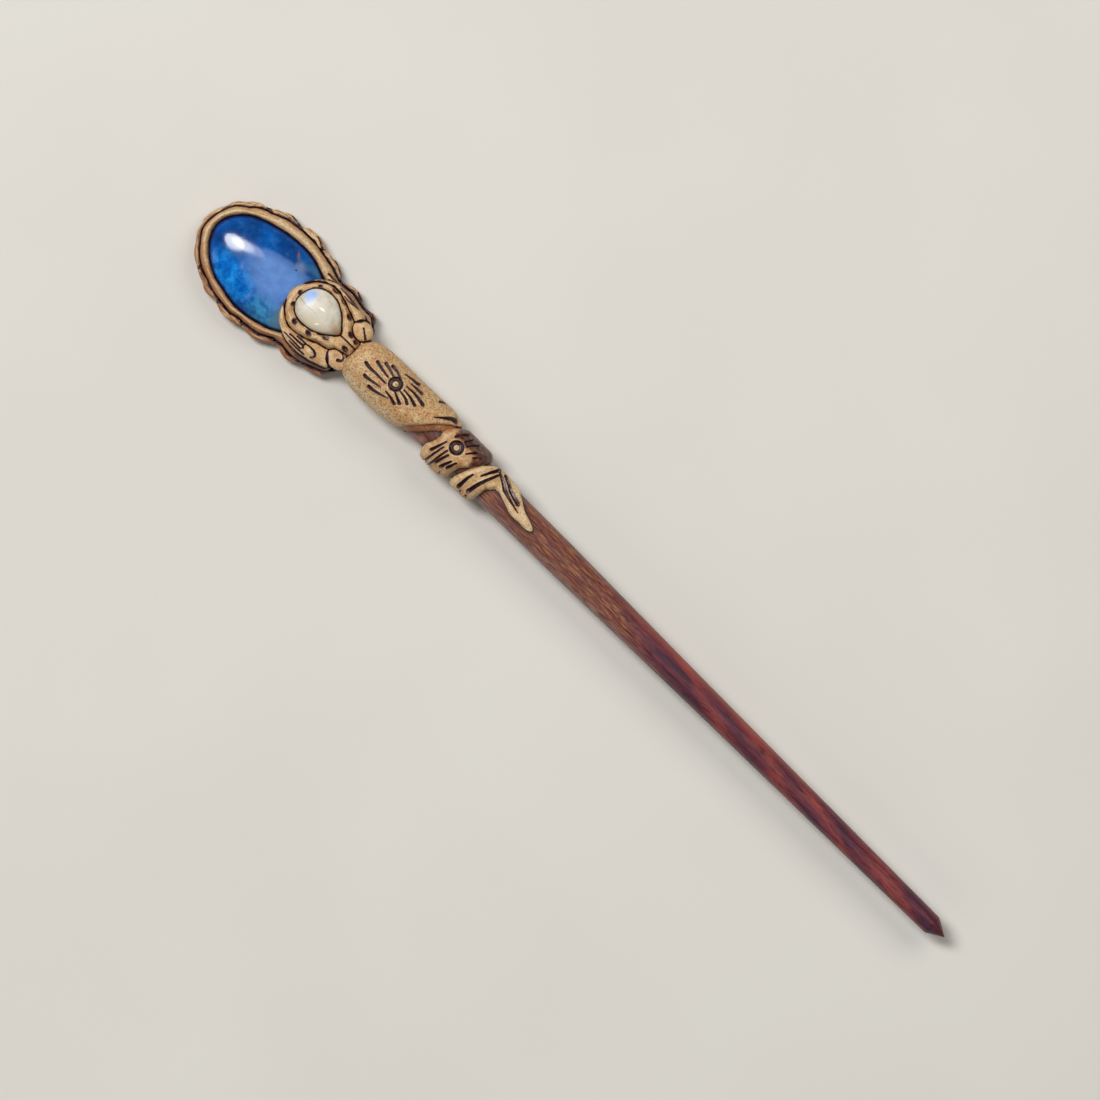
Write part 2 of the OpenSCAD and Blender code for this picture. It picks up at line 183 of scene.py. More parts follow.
# %% Baked polymer clay
CLAY_TONES = [(0.25, "#aa7743"), (0.42, "#bf9360"), (0.62, "#c9ad7f"), (0.8, "#c9ad7f")]
# The orange-brown is partly the clay's own tone and partly painted shade.
CLAY_ORANGE_AND_SHADE = "#9d5c2e"
# The pale tone is wear on standing edges and a paler leaf, and painted light on the grip's side that faces
# -Y.
CLAY_WEAR_AND_LIGHT = "#d9c6a0"
CLAY_PIT = "#7f532c"
STAIN_THIN = "#70462f"
STAIN = "#331b1f"
STAIN_POOLED = "#1c1119"
# The size in millimetres of mottling, pores, specks in the stain and pebbling, with detail and roughness.
CLAY_PATTERNS = ((1.7, 6.0, 0.7), (0.36, 2.0, 0.7), (0.5, 3.0, 0.7), (0.42, 3.0, 0.55))
PEBBLE_HEIGHT = 0.12 * MM


def clay_material(name, pebble, pitted):
    """Satin clay. pebble is the strength of its leathery bump, and pitted how dark its pores are."""
    material, tree, shader, place = new_material(name)
    mottle, pores, grain, pebbles = [
        add(tree, "TexNoise", {"Vector": place, "Scale": 1 / (mm * MM), "Detail": fine, "Roughness": rough})
        for mm, fine, rough in CLAY_PATTERNS
    ]
    stain, rust, worn = [
        add(tree, "Attribute", attribute_name=field).outputs["Fac"] for field in ("stain", "rust", "worn")
    ]
    pit = add(tree, "MapRange", {0: pores, 1: 0.46, 2: 0.66, 4: pitted})
    speck = add(tree, "MapRange", {0: grain, 1: 0.35, 2: 0.65, 3: -0.1, 4: 0.1})
    edge = add(tree, "Math", {0: stain, 1: speck}, operation="ADD")
    thick = add(tree, "MapRange", {0: edge, 1: 0.42, 2: 0.72}, **SMOOTH)
    body = paint(
        tree,
        add(tree, "ValToRGB", {0: mottle}, CLAY_TONES),
        # Orange-brown: partly the clay's own tone, partly painted shade.
        (CLAY_ORANGE_AND_SHADE, rust),
        # Pale: wear on standing edges, and painted light on the grip's side that faces -Y.
        (CLAY_WEAR_AND_LIGHT, worn),
        (CLAY_PIT, pit),
        (STAIN_THIN, add(tree, "MapRange", {0: edge, 1: 0.12, 2: 0.5}, **SMOOTH)),
        (STAIN, thick),
        (STAIN_POOLED, add(tree, "MapRange", {0: edge, 1: 0.86, 2: 1.0, 4: 0.75})),
    )
    tree.links.new(body, shader.inputs["Base Color"])
    shine = add(tree, "MapRange", {0: thick, 3: 0.5, 4: 0.3})
    tree.links.new(shine.outputs[0], shader.inputs["Roughness"])
    bump = add(tree, "Bump", {"Height": pebbles, "Strength": pebble, "Distance": PEBBLE_HEIGHT})
    tree.links.new(bump.outputs[0], shader.inputs["Normal"])
    return material


smooth_clay = clay_material("clay_smoothed", 0.75, 0.5)
grip_clay = clay_material("clay_leathery", 1.5, 0.9)
print("clay materials:", smooth_clay.name, grip_clay.name)

# %% [markdown]
# ## Stock for carving
# Each clay piece starts as a copy of its solid. The copy is merged, its triangles are joined to quads, a
# Subdivision Surface rounds it, and a voxel Remesh makes it an even net of small squares, as fine as the
# lines that will be pressed into it. A subdivided surface runs inside its cage and would come out slimmer
# than the solid, so the cage is first moved out by what it falls short. Working in millimetres keeps the
# voxel size away from tiny numbers.

# %% Stock for carving
STITCH = 0.0005
SUBDIVIDED = ("SUBSURF", {"levels": 2, "render_levels": 2})


def rise(values, start, width):
    """0 up to a start, then rising evenly to 1 over a width."""
    return np.clip((values - start) / width, 0, 1)


def new_mesh(bm, name, unit=1.0):
    """A smoothly shaded mesh of a bmesh. MM as its unit brings millimetres to metres."""
    bmesh.ops.scale(bm, vec=(unit, unit, unit), verts=bm.verts)
    for face in bm.faces:
        face.smooth = True
    mesh = bpy.data.meshes.new(name)
    bm.to_mesh(mesh)
    bm.free()
    return mesh


def merged_copy(node):
    """A bmesh of a CAD node's surface in millimetres, with its loose triangles merged."""
    bm = bmesh.new()
    bm.from_mesh(nodes[node].data)
    bmesh.ops.scale(bm, vec=(1 / MM, 1 / MM, 1 / MM), verts=bm.verts)
    bmesh.ops.remove_doubles(bm, verts=bm.verts, dist=STITCH)
    bmesh.ops.join_triangles(bm, faces=bm.faces, angle_face_threshold=0.9, angle_shape_threshold=1.5)
    return bm


def applied(bm, *modifiers):
    """The mesh that a bmesh gives once its (modifier type, settings) are applied to it."""
    mesh = new_mesh(bm, "stock")
    holder = bpy.data.objects.new("stock", mesh)
    bpy.context.scene.collection.objects.link(holder)
    for kind, settings in modifiers:
        modifier = holder.modifiers.new(kind.lower(), kind)
        for name, value in settings.items():
            setattr(modifier, name, value)
    done = bpy.data.meshes.new_from_object(holder.evaluated_get(bpy.context.evaluated_depsgraph_get()))
    bpy.data.objects.remove(holder)
    bpy.data.meshes.remove(mesh)
    return done


def read(mesh, what):
    """The places or normals of all the points of a mesh, as rows."""
    values = np.zeros(len(mesh.vertices) * 3)
    mesh.vertices.foreach_get(what, values)
    return values.reshape(-1, 3)


def fitted_cage(node, rounds=3):
    """A copy of a node, moved out until its subdivided surface passes through its points' old places."""
    bm = merged_copy(node)
    goal = np.array([vert.co[:] for vert in bm.verts])
    for _ in range(rounds):
        soft = applied(bm.copy(), SUBDIVIDED)
        short = goal - read(soft, "co")[: len(goal)]
        for vert, offset in zip(bm.verts, short):
            vert.co += Vector(offset)
        bpy.data.meshes.remove(soft)
    miss = np.linalg.norm(short, axis=1).mean()
    print(f"{node}: cage was {miss:.4f} mm off before its last round")
    return bm


class Lump:
    """A dense clay piece in millimetres: its mesh, its points, its stain, its orange tone and painted shade,
    and its wear and painted light.
    """

    def __init__(self, node, voxel, rounds=3):
        self.node = node
        remesh = ("REMESH", {"mode": "VOXEL", "voxel_size": voxel})
        smooth = ("SMOOTH", {"factor": 0.5, "iterations": rounds})
        self.mesh = applied(fitted_cage(node), SUBDIVIDED, remesh, smooth)
        self.stain, self.rust, self.worn, self.halo, self.rubbed = np.zeros((5, len(self.mesh.vertices)))
        self.refresh()

    def refresh(self):
        """Reads the points and their normals again after a change."""
        self.mesh.update()
        self.points = read(self.mesh, "co")
        self.normals = read(self.mesh, "normal")

    def move(self, offset):
        """Moves each point by its own row of offset."""
        self.points = self.points + offset
        self.mesh.vertices.foreach_set("co", self.points.ravel())
        self.refresh()

    def press(self, depth):
        """Pushes the surface inwards by a depth for each point."""
        self.move(-self.normals * depth[:, None])

    def wave(self, *waves):
        """Presses random waves of (height, size, seed) into the surface, as hands leave them."""
        self.press(sum(height * ripple(self.points, size, seed) for height, size, seed in waves))

    def grab(self, *pulls):
        """Drags the surface along as a thumb does. A pull is (x, y, reach, shift), seen from above."""
        for x, y, reach, shift in pulls:
            far = np.linalg.norm(self.points[:, :2] - (x, y), axis=1) / reach
            hold = np.clip(1 - far**2, 0, 1) ** 2
            self.move(hold[:, None] * np.array(shift))

    def soak(self, stain, halo=0):
        """Stains the clay, and its halo, where it has had less so far."""
        self.stain = np.maximum(self.stain, stain)
        self.halo = np.maximum(self.halo, halo)

    def faces_up(self, least=0.05, full=0.4):
        """1 where the surface can be seen from above, fading to 0 at its sides."""
        return rise(self.normals[:, 2], least, full - least)


def ripple(points, size, seed):
    """A smooth random wave over points, between about -1 and 1, with waves of a size in millimetres."""
    rng = np.random.default_rng(seed)
    total = np.zeros(len(points))
    for _ in range(9):
        direction = rng.normal(size=3)
        direction *= 2 * math.pi / size / np.linalg.norm(direction) * rng.uniform(0.6, 1.5)
        total += np.sin(points @ direction + rng.uniform(0, 2 * math.pi))
    return total / 4


# %% [markdown]
# ## Neighbours
# Several steps need to know how far a point is from the next piece: strands in the clay run along its rims,
# and stain gathers where two pieces meet. A search tree over each solid answers that quickly.

# %% Neighbours
def tree_of(node):
    """A search tree over a CAD node's surface, in millimetres."""
    bm = merged_copy(node)
    found = BVHTree.FromBMesh(bm)
    bm.free()
    return found


trees = {name: tree_of(name) for name in nodes}
boxes = {name: np.array(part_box(name)) / MM for name in nodes}


def distance_to(points, node, reach):
    """How far each point is from a node's surface, in millimetres, and at most a reach."""
    found = (trees[node].find_nearest(Vector(point), reach)[3] for point in points)
    return np.array([reach if far is None else far for far in found])


# %% [markdown]
# ## Tools
# A needle tool drags a tapering groove, a ball tool pokes a round dot and a tube stamps a ring. Each could
# be a boolean cutter, but a cutter leaves hard edges. Here each is a field: how near a point of the surface
# is to the tool's track, seen from above, gives how deep it's pressed and how much stain stays there. The
# tracks are written as tables of millimetres, one track a row, so that they're easy to read and change.

# %% Tools
HALO = 0.45
STRAND_REACH = 4.0
STRAND_DEPTH = 0.015


def read_table(table):
    """The rows of a table of numbers that is written as text."""
    return [np.array(row.split(), float) for row in table.strip().splitlines()]


def read_tracks(table, origin=(0, 0)):
    """Tracks from a table: each row is the points x y of a track, then its widths at the start and end."""
    rows = [row.reshape(-1, 2) for row in read_table(table)]
    return [[*(row[:-1] + origin), row[-1]] for row in rows]


def track_distance(points, track):
    """Distance in the plan view from each point to a polyline, and how far along it that is, 0 to 1."""
    flat = points[:, :2]
    near = np.full(len(flat), np.inf)
    along = np.zeros(len(flat))
    track = np.array(track, float)
    lengths = np.linalg.norm(track[1:] - track[:-1], axis=1)
    travelled = np.concatenate([[0], np.cumsum(lengths)])
    for a, b, start, length in zip(track[:-1], track[1:], travelled, lengths):
        t = np.clip((flat - a) @ (b - a) / length**2, 0, 1)
        far = np.linalg.norm(flat - a - t[:, None] * (b - a), axis=1)
        closer = far < near
        near[closer] = far[closer]
        along[closer] = (start + t[closer] * length) / travelled[-1]
    return near, along


def bowl(share):
    """The section of a pressed groove: 1 in its middle, 0 at its edge and beyond."""
    return np.clip(1 - share**2, 0, 1) ** 1.5


def drag_needle(lump, tracks, depth=0.42, bank=0.05, wet=1.0, over=False):
    """Presses tracks of ((x, y), ..., (width at the start, width at the end)) into a lump.

    bank is how high clay is pushed up beside a groove, wet is how much stain the groove keeps, and over lets
    it run on down a steep side.
    """
    pressed, stain, halo, raised = np.zeros((4, len(lump.points)))
    for *line, (wide, thin) in tracks:
        far, along = track_distance(lump.points, line)
        half = (wide + (thin - wide) * along) / 2
        pressed = np.maximum(pressed, bowl(far / half) * np.minimum(depth, half * 1.5))
        raised = np.maximum(raised, bowl((far - half * 1.3) / (half * 0.7)) * bank)
        stain = np.maximum(stain, np.clip(1.35 - far / half * 0.85, 0, 1))
        halo = np.maximum(halo, np.clip(1 - (far - half) / HALO, 0, 1))
    seen = lump.faces_up(-0.7, -0.3) if over else lump.faces_up()
    lump.press((pressed - raised * (pressed == 0)) * seen)
    lump.soak(stain * seen * wet, halo * seen * wet)


def poke_dots(lump, dots, depth=0.4, wet=1.0):
    """Pokes dots of (x, y, radius along, radius across, turn in degrees). A negative depth raises a bead."""
    for x, y, along, across, degrees in dots:
        angle = math.radians(degrees)
        offset = lump.points[:, :2] - (x, y)
        u = offset @ (math.cos(angle), math.sin(angle)) / along
        v = offset @ (-math.sin(angle), math.cos(angle)) / across
        far = np.hypot(u, v)
        seen = lump.faces_up()
        lump.press(bowl(far) * depth * seen)
        halo = np.clip(1 - (far - 1) * min(along, across) / HALO, 0, 1)
        lump.soak(np.clip(1.45 - far * 0.95, 0, 1) * seen * wet, halo * seen * wet)


def stamp_ring(lump, centre, radii=(0.66, 1.18), widths=(0.24, 0.5), depths=(0.16, 0.4)):
    """Stamps two rings round a centre, as the end of a screw does. The ridge between them is stained too."""
    far = np.linalg.norm(lump.points[:, :2] - centre, axis=1)
    seen = lump.faces_up()
    for radius, width, depth in zip(radii, widths, depths):
        lump.press(bowl((far - radius) / (width / 2)) * depth * seen)
    low, high = radii[0] - widths[0] / 2, radii[1] + widths[1] / 2
    inside = np.clip((far - low) / 0.12 + 0.5, 0, 1) * np.clip((high - far) / 0.12 + 0.5, 0, 1)
    ridge = bowl((far - (radii[0] + radii[1]) / 2 + 0.02) / 0.2)
    lump.soak(inside * seen * (1 - 0.5 * ridge))


def strands(lump, node, spacing, seed, strength=0.2):
    """Fine strands that run along a rim: where the clay was rolled, its colours were drawn out in lines."""
    far = distance_to(lump.points, node, STRAND_REACH)
    wave = np.sin(2 * math.pi * far / spacing + 2.2 * ripple(lump.points, 6, seed))
    wave = wave * np.clip(0.5 + 0.5 * ripple(lump.points, 3, seed + 1), 0, 1)
    lump.press(STRAND_DEPTH * wave * lump.faces_up())
    lump.rust = lump.rust + strength * wave


# %% [markdown]
# ## The grip
# A thick sleeve of clay round the stick, cut off on the slant. A ring is stamped in its middle, with
# tapering rays dragged away from it on all sides. The tracks are given from the ring's centre.

# %% The grip
grip_start = boxes["grip"][0, 0]
grip_ring = np.array((grip_start + 10.05, 1.45))
CUT_LEAN = 0.95
cut_start = grip_start + 19.55
GRIP_RAYS = read_tracks("""
-2.7 1.95  -1.5 1.85  -0.3 1.5  0.62 0.4
-3.95 1.45  -2.7 1.15  -1.3 0.75  0.62 0.35
-5.25 0.6  -3.6 0.2  -1.9 -0.05  0.62 0.32
-6.65 -1  -5.6 -1.2  -4 -1.15  -1.4 -1.2  0.62 0.32
-5.2 -2.85  -4.6 -2.85  -3.4 -2.65  -1.6 -2.35  0.62 0.26
-3.25 -3.75  -2.4 -3.7  -0.9 -3.35  0.8 -2.85  0.66 0.24
-0.1 2.5  1.6 2.75  2.6 2.8  3 2.95  0.26 0.55
2 2  3.3 2.1  4.6 2.1  0.26 0.58
1.7 1.1  3.6 1.2  4.9 1.05  6.2 0.8  0.26 0.68
1.8 0.35  3.7 0.15  5.2 -0.3  0.26 0.6
1.5 -0.35  2.6 -0.5  3.4 -0.7  4 -1.1  0.26 0.58
0.8 -1.05  1.9 -1.55  3 -2.05  0.3 0.6
-0.4 -2.2  0.9 -2.35  2.3 -2.75  0.28 0.6
7.95 3.35  8.9 3.95  0.42 0.3
9.3 0.65  10.8 2  12.2 3.35  0.2 0.72
""", grip_ring)
GRIP_PULLS = [
    (grip_start, 0.7, 3.0, (0.4, 0, 0)),
    (grip_start + 22.6, 3.0, 2.6, (0.35, -0.1, 0)),
    (grip_start + 23.2, 5.2, 2.2, (0.5, -0.75, 0)),
]


def past_cut():
    """How far each point of the grip lies past its slanted cut, in millimetres."""
    return grip.points[:, 0] - CUT_LEAN * grip.points[:, 1] - cut_start


grip = Lump("grip", 0.13, rounds=12)
grip.wave((0.07, 7, 1), (0.02, 1.6, 2))
drag_needle(grip, GRIP_RAYS, depth=0.5, bank=0.09)
# Painted light: the grip's side that faces -Y is paler.
grip.worn = 0.55 * rise(-grip.points[:, 1], 2.2, 1.6)
# Painted shade: the slanted cut face turns orange-brown and takes some stain.
grip.rust = rise(past_cut(), -1.4, 1.2) * (0.7 + 0.25 * ripple(grip.points, 2, 22))
grip.soak(rise(past_cut(), -1.2, 2.2) * (0.42 + 0.05 * ripple(grip.points, 2, 25)))
grip.grab(*GRIP_PULLS)
stamp_ring(grip, grip_ring)
print("grip:", len(grip.points), "points, ring at", grip_ring.round(2))

# %% [markdown]
# ## The tendril
# One strip of clay leaves the grip, goes once and a half round the stick and ends as a leaf. The wide band
# carries a stamped ring and strokes that run over its lower edge, so that edge breaks into soft lobes. The
# upper half of this band was left dark with stain, and the leaf has a pale rim round dark strokes.

# %% The tendril
BAND_RING = np.array((-32.05, 1.0))
BAND_STROKES = read_tracks("""
-34.15 0.45  -34.7 -1.2  -35.15 -2.5  0.36 0.6
-33.85 -0.6  -34.2 -2.3  -34.7 -4.9  0.34 0.46
-32.9 -0.6  -33.25 -2.3  -33.6 -4.9  0.38 0.46
-32.2 -1.1  -32.6 -2.3  -32.95 -3.6  0.44 0.56
-31 -1.5  -31.4 -2.5  -31.75 -3.5  0.42 0.64
-30.1 -1.1  -30.4 -1.9  -30.7 -2.8  0.42 0.64
-31.2 -4.3  -31.2 -4.95  0.26 0.36
-33.6 2.3  -33 3.4  -32.2 4.1  0.45 0.6
-31.7 2.75  -31 4  0.34 0.4
-30.8 2.4  -30.25 3.3  -29.5 4  0.3 0.5
-30 1.4  -29.5 2.1  -28.6 2.95  0.3 0.5
-28.6 1.75  -28 2.35  0.3 0.4
""")
NARROW_STROKES = read_tracks("""
-26.45 -0.4  -26.75 -1.6  -26.85 -3.7  0.36 0.8
-23.6 3.5  -24.4 2.1  -25.2 0.5  0.68 0.36
-22.95 3  -23.85 0.8  -24.5 -1  -24.95 -3.1  0.42 0.8
-26.1 -4.1  -26.15 -4.95  0.4 0.5
-24.75 -4  -24.8 -4.95  0.36 0.44
""")
LEAF_STROKES = read_tracks("""
-22.1 3.6  -20.6 3  -19.4 2.3  -18.2 1.9  -16.8 1.55  0.46 0.84
-23.3 3.4  -21.5 2.45  -20.4 1.75  0.4 0.72
-20.4 1.7  -19.2 1.3  -17.6 0.85  -15.7 0.4  0.72 0.2
""")
BAND_PULLS = [
    (-35.0, 2.5, 2.4, (-0.8, 0, 0)),
    (-34.2, 3.7, 1.6, (-0.4, 0, 0)),
    (-36.2, -0.6, 1.9, (0.3, 0, 0)),
    (-16.4, -0.5, 2.4, (0, -0.35, 0)),
]
# Underneath, what lies between a foot and an edge along X is drawn in close to the edge.
TUCKS = ((-38.1, -36.0), (-29.7, -28.5))
tendril = Lump("tendril", 0.12, rounds=2)
tendril.grab(*BAND_PULLS)
x, y, z = tendril.points.T
tucked = rise(-y, 2.2, 0.8) * rise(-z, -5.2, 1.5)
slack = sum(np.clip(edge - x, 0, edge - foot) * (x > foot - 0.05) for foot, edge in TUCKS)
tendril.move(np.outer(0.8 * slack * tucked, (1, 0, 0)))
tendril.wave((0.06, 4, 3), (0.035, 1.4, 4))
drag_needle(tendril, BAND_STROKES + NARROW_STROKES, depth=0.55, bank=0.08, over=True)
drag_needle(tendril, LEAF_STROKES, depth=0.28)
stamp_ring(tendril, BAND_RING)
x, y, z = tendril.points.T
wide_band = rise(0.5 * y - x, 27.2, 0.5)
dark_top = rise(y + 0.45 * ripple(tendril.points, 2.2, 5), 2.1, 0.9) * rise(x, -34.4, 0.8)
dark_end = rise(x + 0.3 * (y - 1), -28.9, 1.2) * (y > -0.5)
wash = np.maximum(dark_top, dark_end) * wide_band * (z > 4.9)
tendril.soak(wash * (0.6 + 0.14 * ripple(tendril.points, 1.1, 27)))
tendril.worn = 0.5 * rise(x, -22, 2)
warm = 0.28 + 0.3 * wash + 0.06 * y + 0.2 * ripple(tendril.points, 1.8, 23)
tendril.rust = wide_band * np.clip(warm, 0, 1)
print("tendril:", len(tendril.points), "points")

# %% [markdown]
# ## Rims of the head
# A smooth roll of clay holds the cabochon, and outside it a scalloped edge was pinched between finger and
# tool. The dark line between the two is left by the stain. Each notch between scallops gets a short dent.

# %% Rims of the head
STONE_MIDDLE = np.array((-79.5, -0.7))
STONE_RADII = (13.1, 8.4)
SEAM_OFFSET = 1.5
EDGE_OFFSET = 2.6
# Degrees round the stone's middle from +X, then how far its edge, the seam and the rim stray from true.
STRAYS = np.array(read_table("""
40 0 0 0
60 0.1 -0.1 0.3
80 -0.1 -0.05 0.1
100 -0.3 -0.25 -0.15
110 -0.35 -0.3 0
120 -0.45 -0.3 -0.45
130 -0.45 -0.6 -0.65
140 -0.25 -0.85 -0.2
150 -0.1 -0.75 -0.75
160 -0.1 -0.3 -0.2
180 0 -0.15 -0.05
190 -0.15 -0.05 0.3
200 -0.2 -0.4 -0.5
210 -0.2 -0.5 -0.35
220 -0.15 -0.5 -0.1
230 -0.1 -0.45 -0.6
240 -0.25 -0.25 -0.15
260 -0.1 0.15 0.1
270 0.05 0.35 0.3
285 0 -0.3 0.05
305 -0.1 0.1 0
320 0 0 0
"""))


def strayed(points):
    """Points in millimetres moved off the true oval, as the maker's hand set the stone and its rims."""
    offset = points[:, :2] - STONE_MIDDLE
    far = np.linalg.norm(offset, axis=1)
    angle = np.arctan2(offset[:, 1], offset[:, 0])
    edge = 1 / np.hypot(np.cos(angle) / STONE_RADII[0], np.sin(angle) / STONE_RADII[1])
    turned = np.degrees(angle) % 360
    stone, seam, rim = [np.interp(turned, STRAYS[:, 0], STRAYS[:, k]) for k in (1, 2, 3)]
    step = stone * rise(far, 0, edge)
    step += (seam - stone) * rise(far, edge, SEAM_OFFSET)
    step += (rim - seam) * rise(far, edge + SEAM_OFFSET, EDGE_OFFSET - SEAM_OFFSET)
    away = offset / np.maximum(far, 0.01)[:, None]
    return np.column_stack([points[:, :2] + away * step[:, None], points[:, 2]])


def stray(bm):
    """Moves the points of a bmesh in millimetres off the true oval."""
    places = strayed(np.array([vert.co[:] for vert in bm.verts]))
    for vert, place in zip(bm.verts, places):
        vert.co = place


NECK_PULLS = [
    (-62.9, 8.0, 3.0, (0, -0.5, 0)),
    (-57.8, 7.2, 2.4, (-0.4, -0.8, 0)),
    (-57.7, -6.3, 2.2, (-0.85, 0.35, 0)),
    (-76.6, -10.6, 1.3, (0, -0.35, 0)),
    (-69.4, -8.6, 1.2, (0, -0.3, 0)),
]


def shape_rim(lump):
    """Gives a rim its strays and rounds the two corners of the neck."""
    lump.move(strayed(lump.points) - lump.points)
    lump.grab(*NECK_PULLS)


# Where the notches between the scallops lie along X.
NOTCHES_ABOVE = (-88.0, -81.9, -75.2, -68.5, -62.9)
NOTCHES_BELOW = (-89.5, -82.6, -76.3, -69.5, -63.8)
# How far a scallop falls away from its crest, in millimetres.
SCALLOP_DROP = 0.3
RUFFLE_FOLDS = read_tracks("""
-89.2 7.9  -88.2 8.05  -87.3 8.2  0.15 0.3
-83.8 10.1  -82.4 10  -81.1 9.75  0.2 0.34
-77.7 10.75  -76.5 10.3  -75.5 9.7  -75.2 9.2  0.2 0.42
-73.4 10  -71.2 9.5  -69.6 8.7  -68.5 8.1  0.18 0.5
-65.2 8.6  -64.2 8.15  -63.2 7.85  0.25 0.45
-60.6 7.6  -59.4 7.1  -58.6 6.3  -58.1 5.5  0.25 0.5
""")
RUFFLE_CREASES = read_tracks("""
-90.4 -8  -88.4 -9.2  -86.4 -9.9  -84.4 -10.2  0.15 0.3
-83.4 -10.5  -81.4 -10.75  -78.8 -10.85  0.15 0.28
-77.2 -10.8  -75 -10.3  -73.2 -9.7  0.15 0.28
-93.6 3.8  -91.9 5.7  -89.9 7  0.12 0.25
-86.8 8.7  -85 9.4  -83.4 9.6  0.12 0.25
""")
ruffle = Lump("ruffle", 0.14, rounds=2)
shape_rim(ruffle)
dents = []
for side, places in ((1, NOTCHES_ABOVE), (-1, NOTCHES_BELOW)):
    for place in places:
        flat = ruffle.points[(np.abs(ruffle.points[:, 0] - place) < 0.2) & (ruffle.points[:, 1] * side > 0)]
        inner, outer = sorted((flat[:, 1].min(), flat[:, 1].max()), key=abs)
        lean = 0.5 * np.sign(place - STONE_MIDDLE[0])
        dents.append([(place - lean, inner - side * 0.1), (place, outer + side * 0.2), (0.5, 1.0)])
ruffle.wave((0.06, 3.2, 6), (0.03, 1.2, 7))
# Each scallop is highest at one notch and slopes down to the next.
x, y, z = ruffle.points.T
for mine, places in ((y > 0, NOTCHES_ABOVE), (y < 0, NOTCHES_BELOW)):
    along = np.interp(x, (-95.5, *places, -57.5), np.arange(len(places) + 2)) % 1
    ruffle.press(SCALLOP_DROP * (1 - along) ** 2 * mine * ruffle.faces_up())
drag_needle(ruffle, dents, depth=0.22, bank=0.04, wet=0.25)
drag_needle(ruffle, RUFFLE_FOLDS, depth=0.25, wet=0.9, over=True)
drag_needle(ruffle, RUFFLE_CREASES, depth=0.12, wet=0.22)
x, y, z = ruffle.points.T
# Painted shade: the ruffle is more orange-brown on its side that faces -Y.
ruffle.rust += 0.12 + 0.36 * rise(-y, 0, 9) + 0.2 * rise(x, -78, 12) + 0.16 * ripple(ruffle.points, 2.5, 15)
strands(ruffle, "bezel", 0.5, 24, 0.4)

WING_LINE = read_tracks("""
-69.4 -6.75  -68 -7.15  -66.2 -7.25  -64.5 -7.15  0.16 0.22
-64.5 -7.15  -62.5 -6.8  -60.8 -6.15  -59 -5.4  0.22 0.6
""")
BEZEL_STROKES = read_tracks("""
-61 6.25  -59.8 5.95  -58.3 5.7  0.4 0.45
""")
BEZEL_SMEARS = read_tracks("""
-71.4 7.25  -69.4 7.2  -67.8 7.25  -66.2 7.2  -64.6 7  0.4 0.5
-65.2 7.05  -64.3 6.85  -63.5 6.65  0.3 0.5
""")
NECK_SMEAR = read_tracks("""
-65.3 -7.7  -63.2 -7.35  -61.2 -6.75  -59.2 -6.1  0.5 0.7
""")
bezel = Lump("bezel", 0.14)
shape_rim(bezel)
bezel.wave((0.05, 5, 8), (0.02, 1.3, 9))
drag_needle(bezel, NECK_SMEAR, depth=0.05, bank=0, wet=0.66)
drag_needle(bezel, WING_LINE, depth=0.3, bank=0)
drag_needle(bezel, BEZEL_STROKES, depth=0.35)
drag_needle(bezel, BEZEL_SMEARS, depth=0.08, bank=0, wet=0.9)
strands(bezel, "ruffle", 0.55, 26, 0.3)
# Painted shade: the bezel is more orange-brown on its side that faces -Y.
bezel.rust += 0.05 + 0.45 * rise(-bezel.points[:, 1], 0, 9)

back_plate = Lump("back_plate", 0.25, rounds=2)
shape_rim(back_plate)
back_plate.wave((0.04, 6, 10))
print("rims:", len(ruffle.points), len(bezel.points), len(back_plate.points), "points")

# %% [markdown]
# ## Collar, wings and scrolls
# The moonstone sits in a collar with poked dots. Its two tails lie along the neck with a seam between them.
# A wing hugs each side, and two small scrolls close the corners beside the grip.

# %% Collar, wings and scrolls
COLLAR_DOTS = read_table("""
-72.55 1.15 0.46 0.42 80
-72 -1.2 0.5 0.42 70
-69.6 -3.4 0.58 0.5 -30
-66.3 -3.15 0.62 0.46 -12
-59.5 -0.5 0.66 0.44 -5
-70.75 4.6 0.42 0.26 42
-68.1 5.95 0.72 0.36 4
-65.7 5.55 0.68 0.34 -15
-63 4.25 0.66 0.42 -25
-60.5 2.1 0.64 0.44 -20
-58.95 1.75 0.52 0.38 -10
""")
FAINT_DOTS = [(-63.4, -1.55, 0.75, 0.55, 25)]
collar = Lump("collar", 0.11)
collar.grab((-58.7, 1.9, 1.4, (0.1, 0.35, 0)), (-58.3, 0.6, 2.4, (0.45, 0, 0)))
collar.wave((0.06, 4, 11), (0.02, 1.3, 12))
poke_dots(collar, COLLAR_DOTS)
poke_dots(collar, FAINT_DOTS, depth=0.2, wet=0.64)
drag_needle(collar, [[(-61.6, 0.72), (-60.0, 0.75), (-58.0, 0.7), (0.34, 0.28)]], depth=0.32)
strands(collar, "moonstone", 0.45, 28)
# A little painted shade: the whole collar is made more orange-brown.
collar.rust += 0.08

WING_SMEARS = read_tracks("""
-67.8 7  -66.2 6.95  -65 6.75  -63.7 6.5  0.4 0.6
-63.7 6.5  -62.8 6.5  -62 6.7  0.45 0.3
-66.3 6.35  -65.2 6.2  -64 6.3  0.2 0.3
""")
wing_upper = Lump("wing_upper", 0.09)
wing_upper.grab((-61.2, 5.9, 1.6, (0.1, 0.15, 0)))
wing_upper.wave((0.04, 3, 13))
drag_needle(wing_upper, WING_SMEARS, depth=0.16, wet=0.8)
strands(wing_upper, "collar", 0.45, 30)

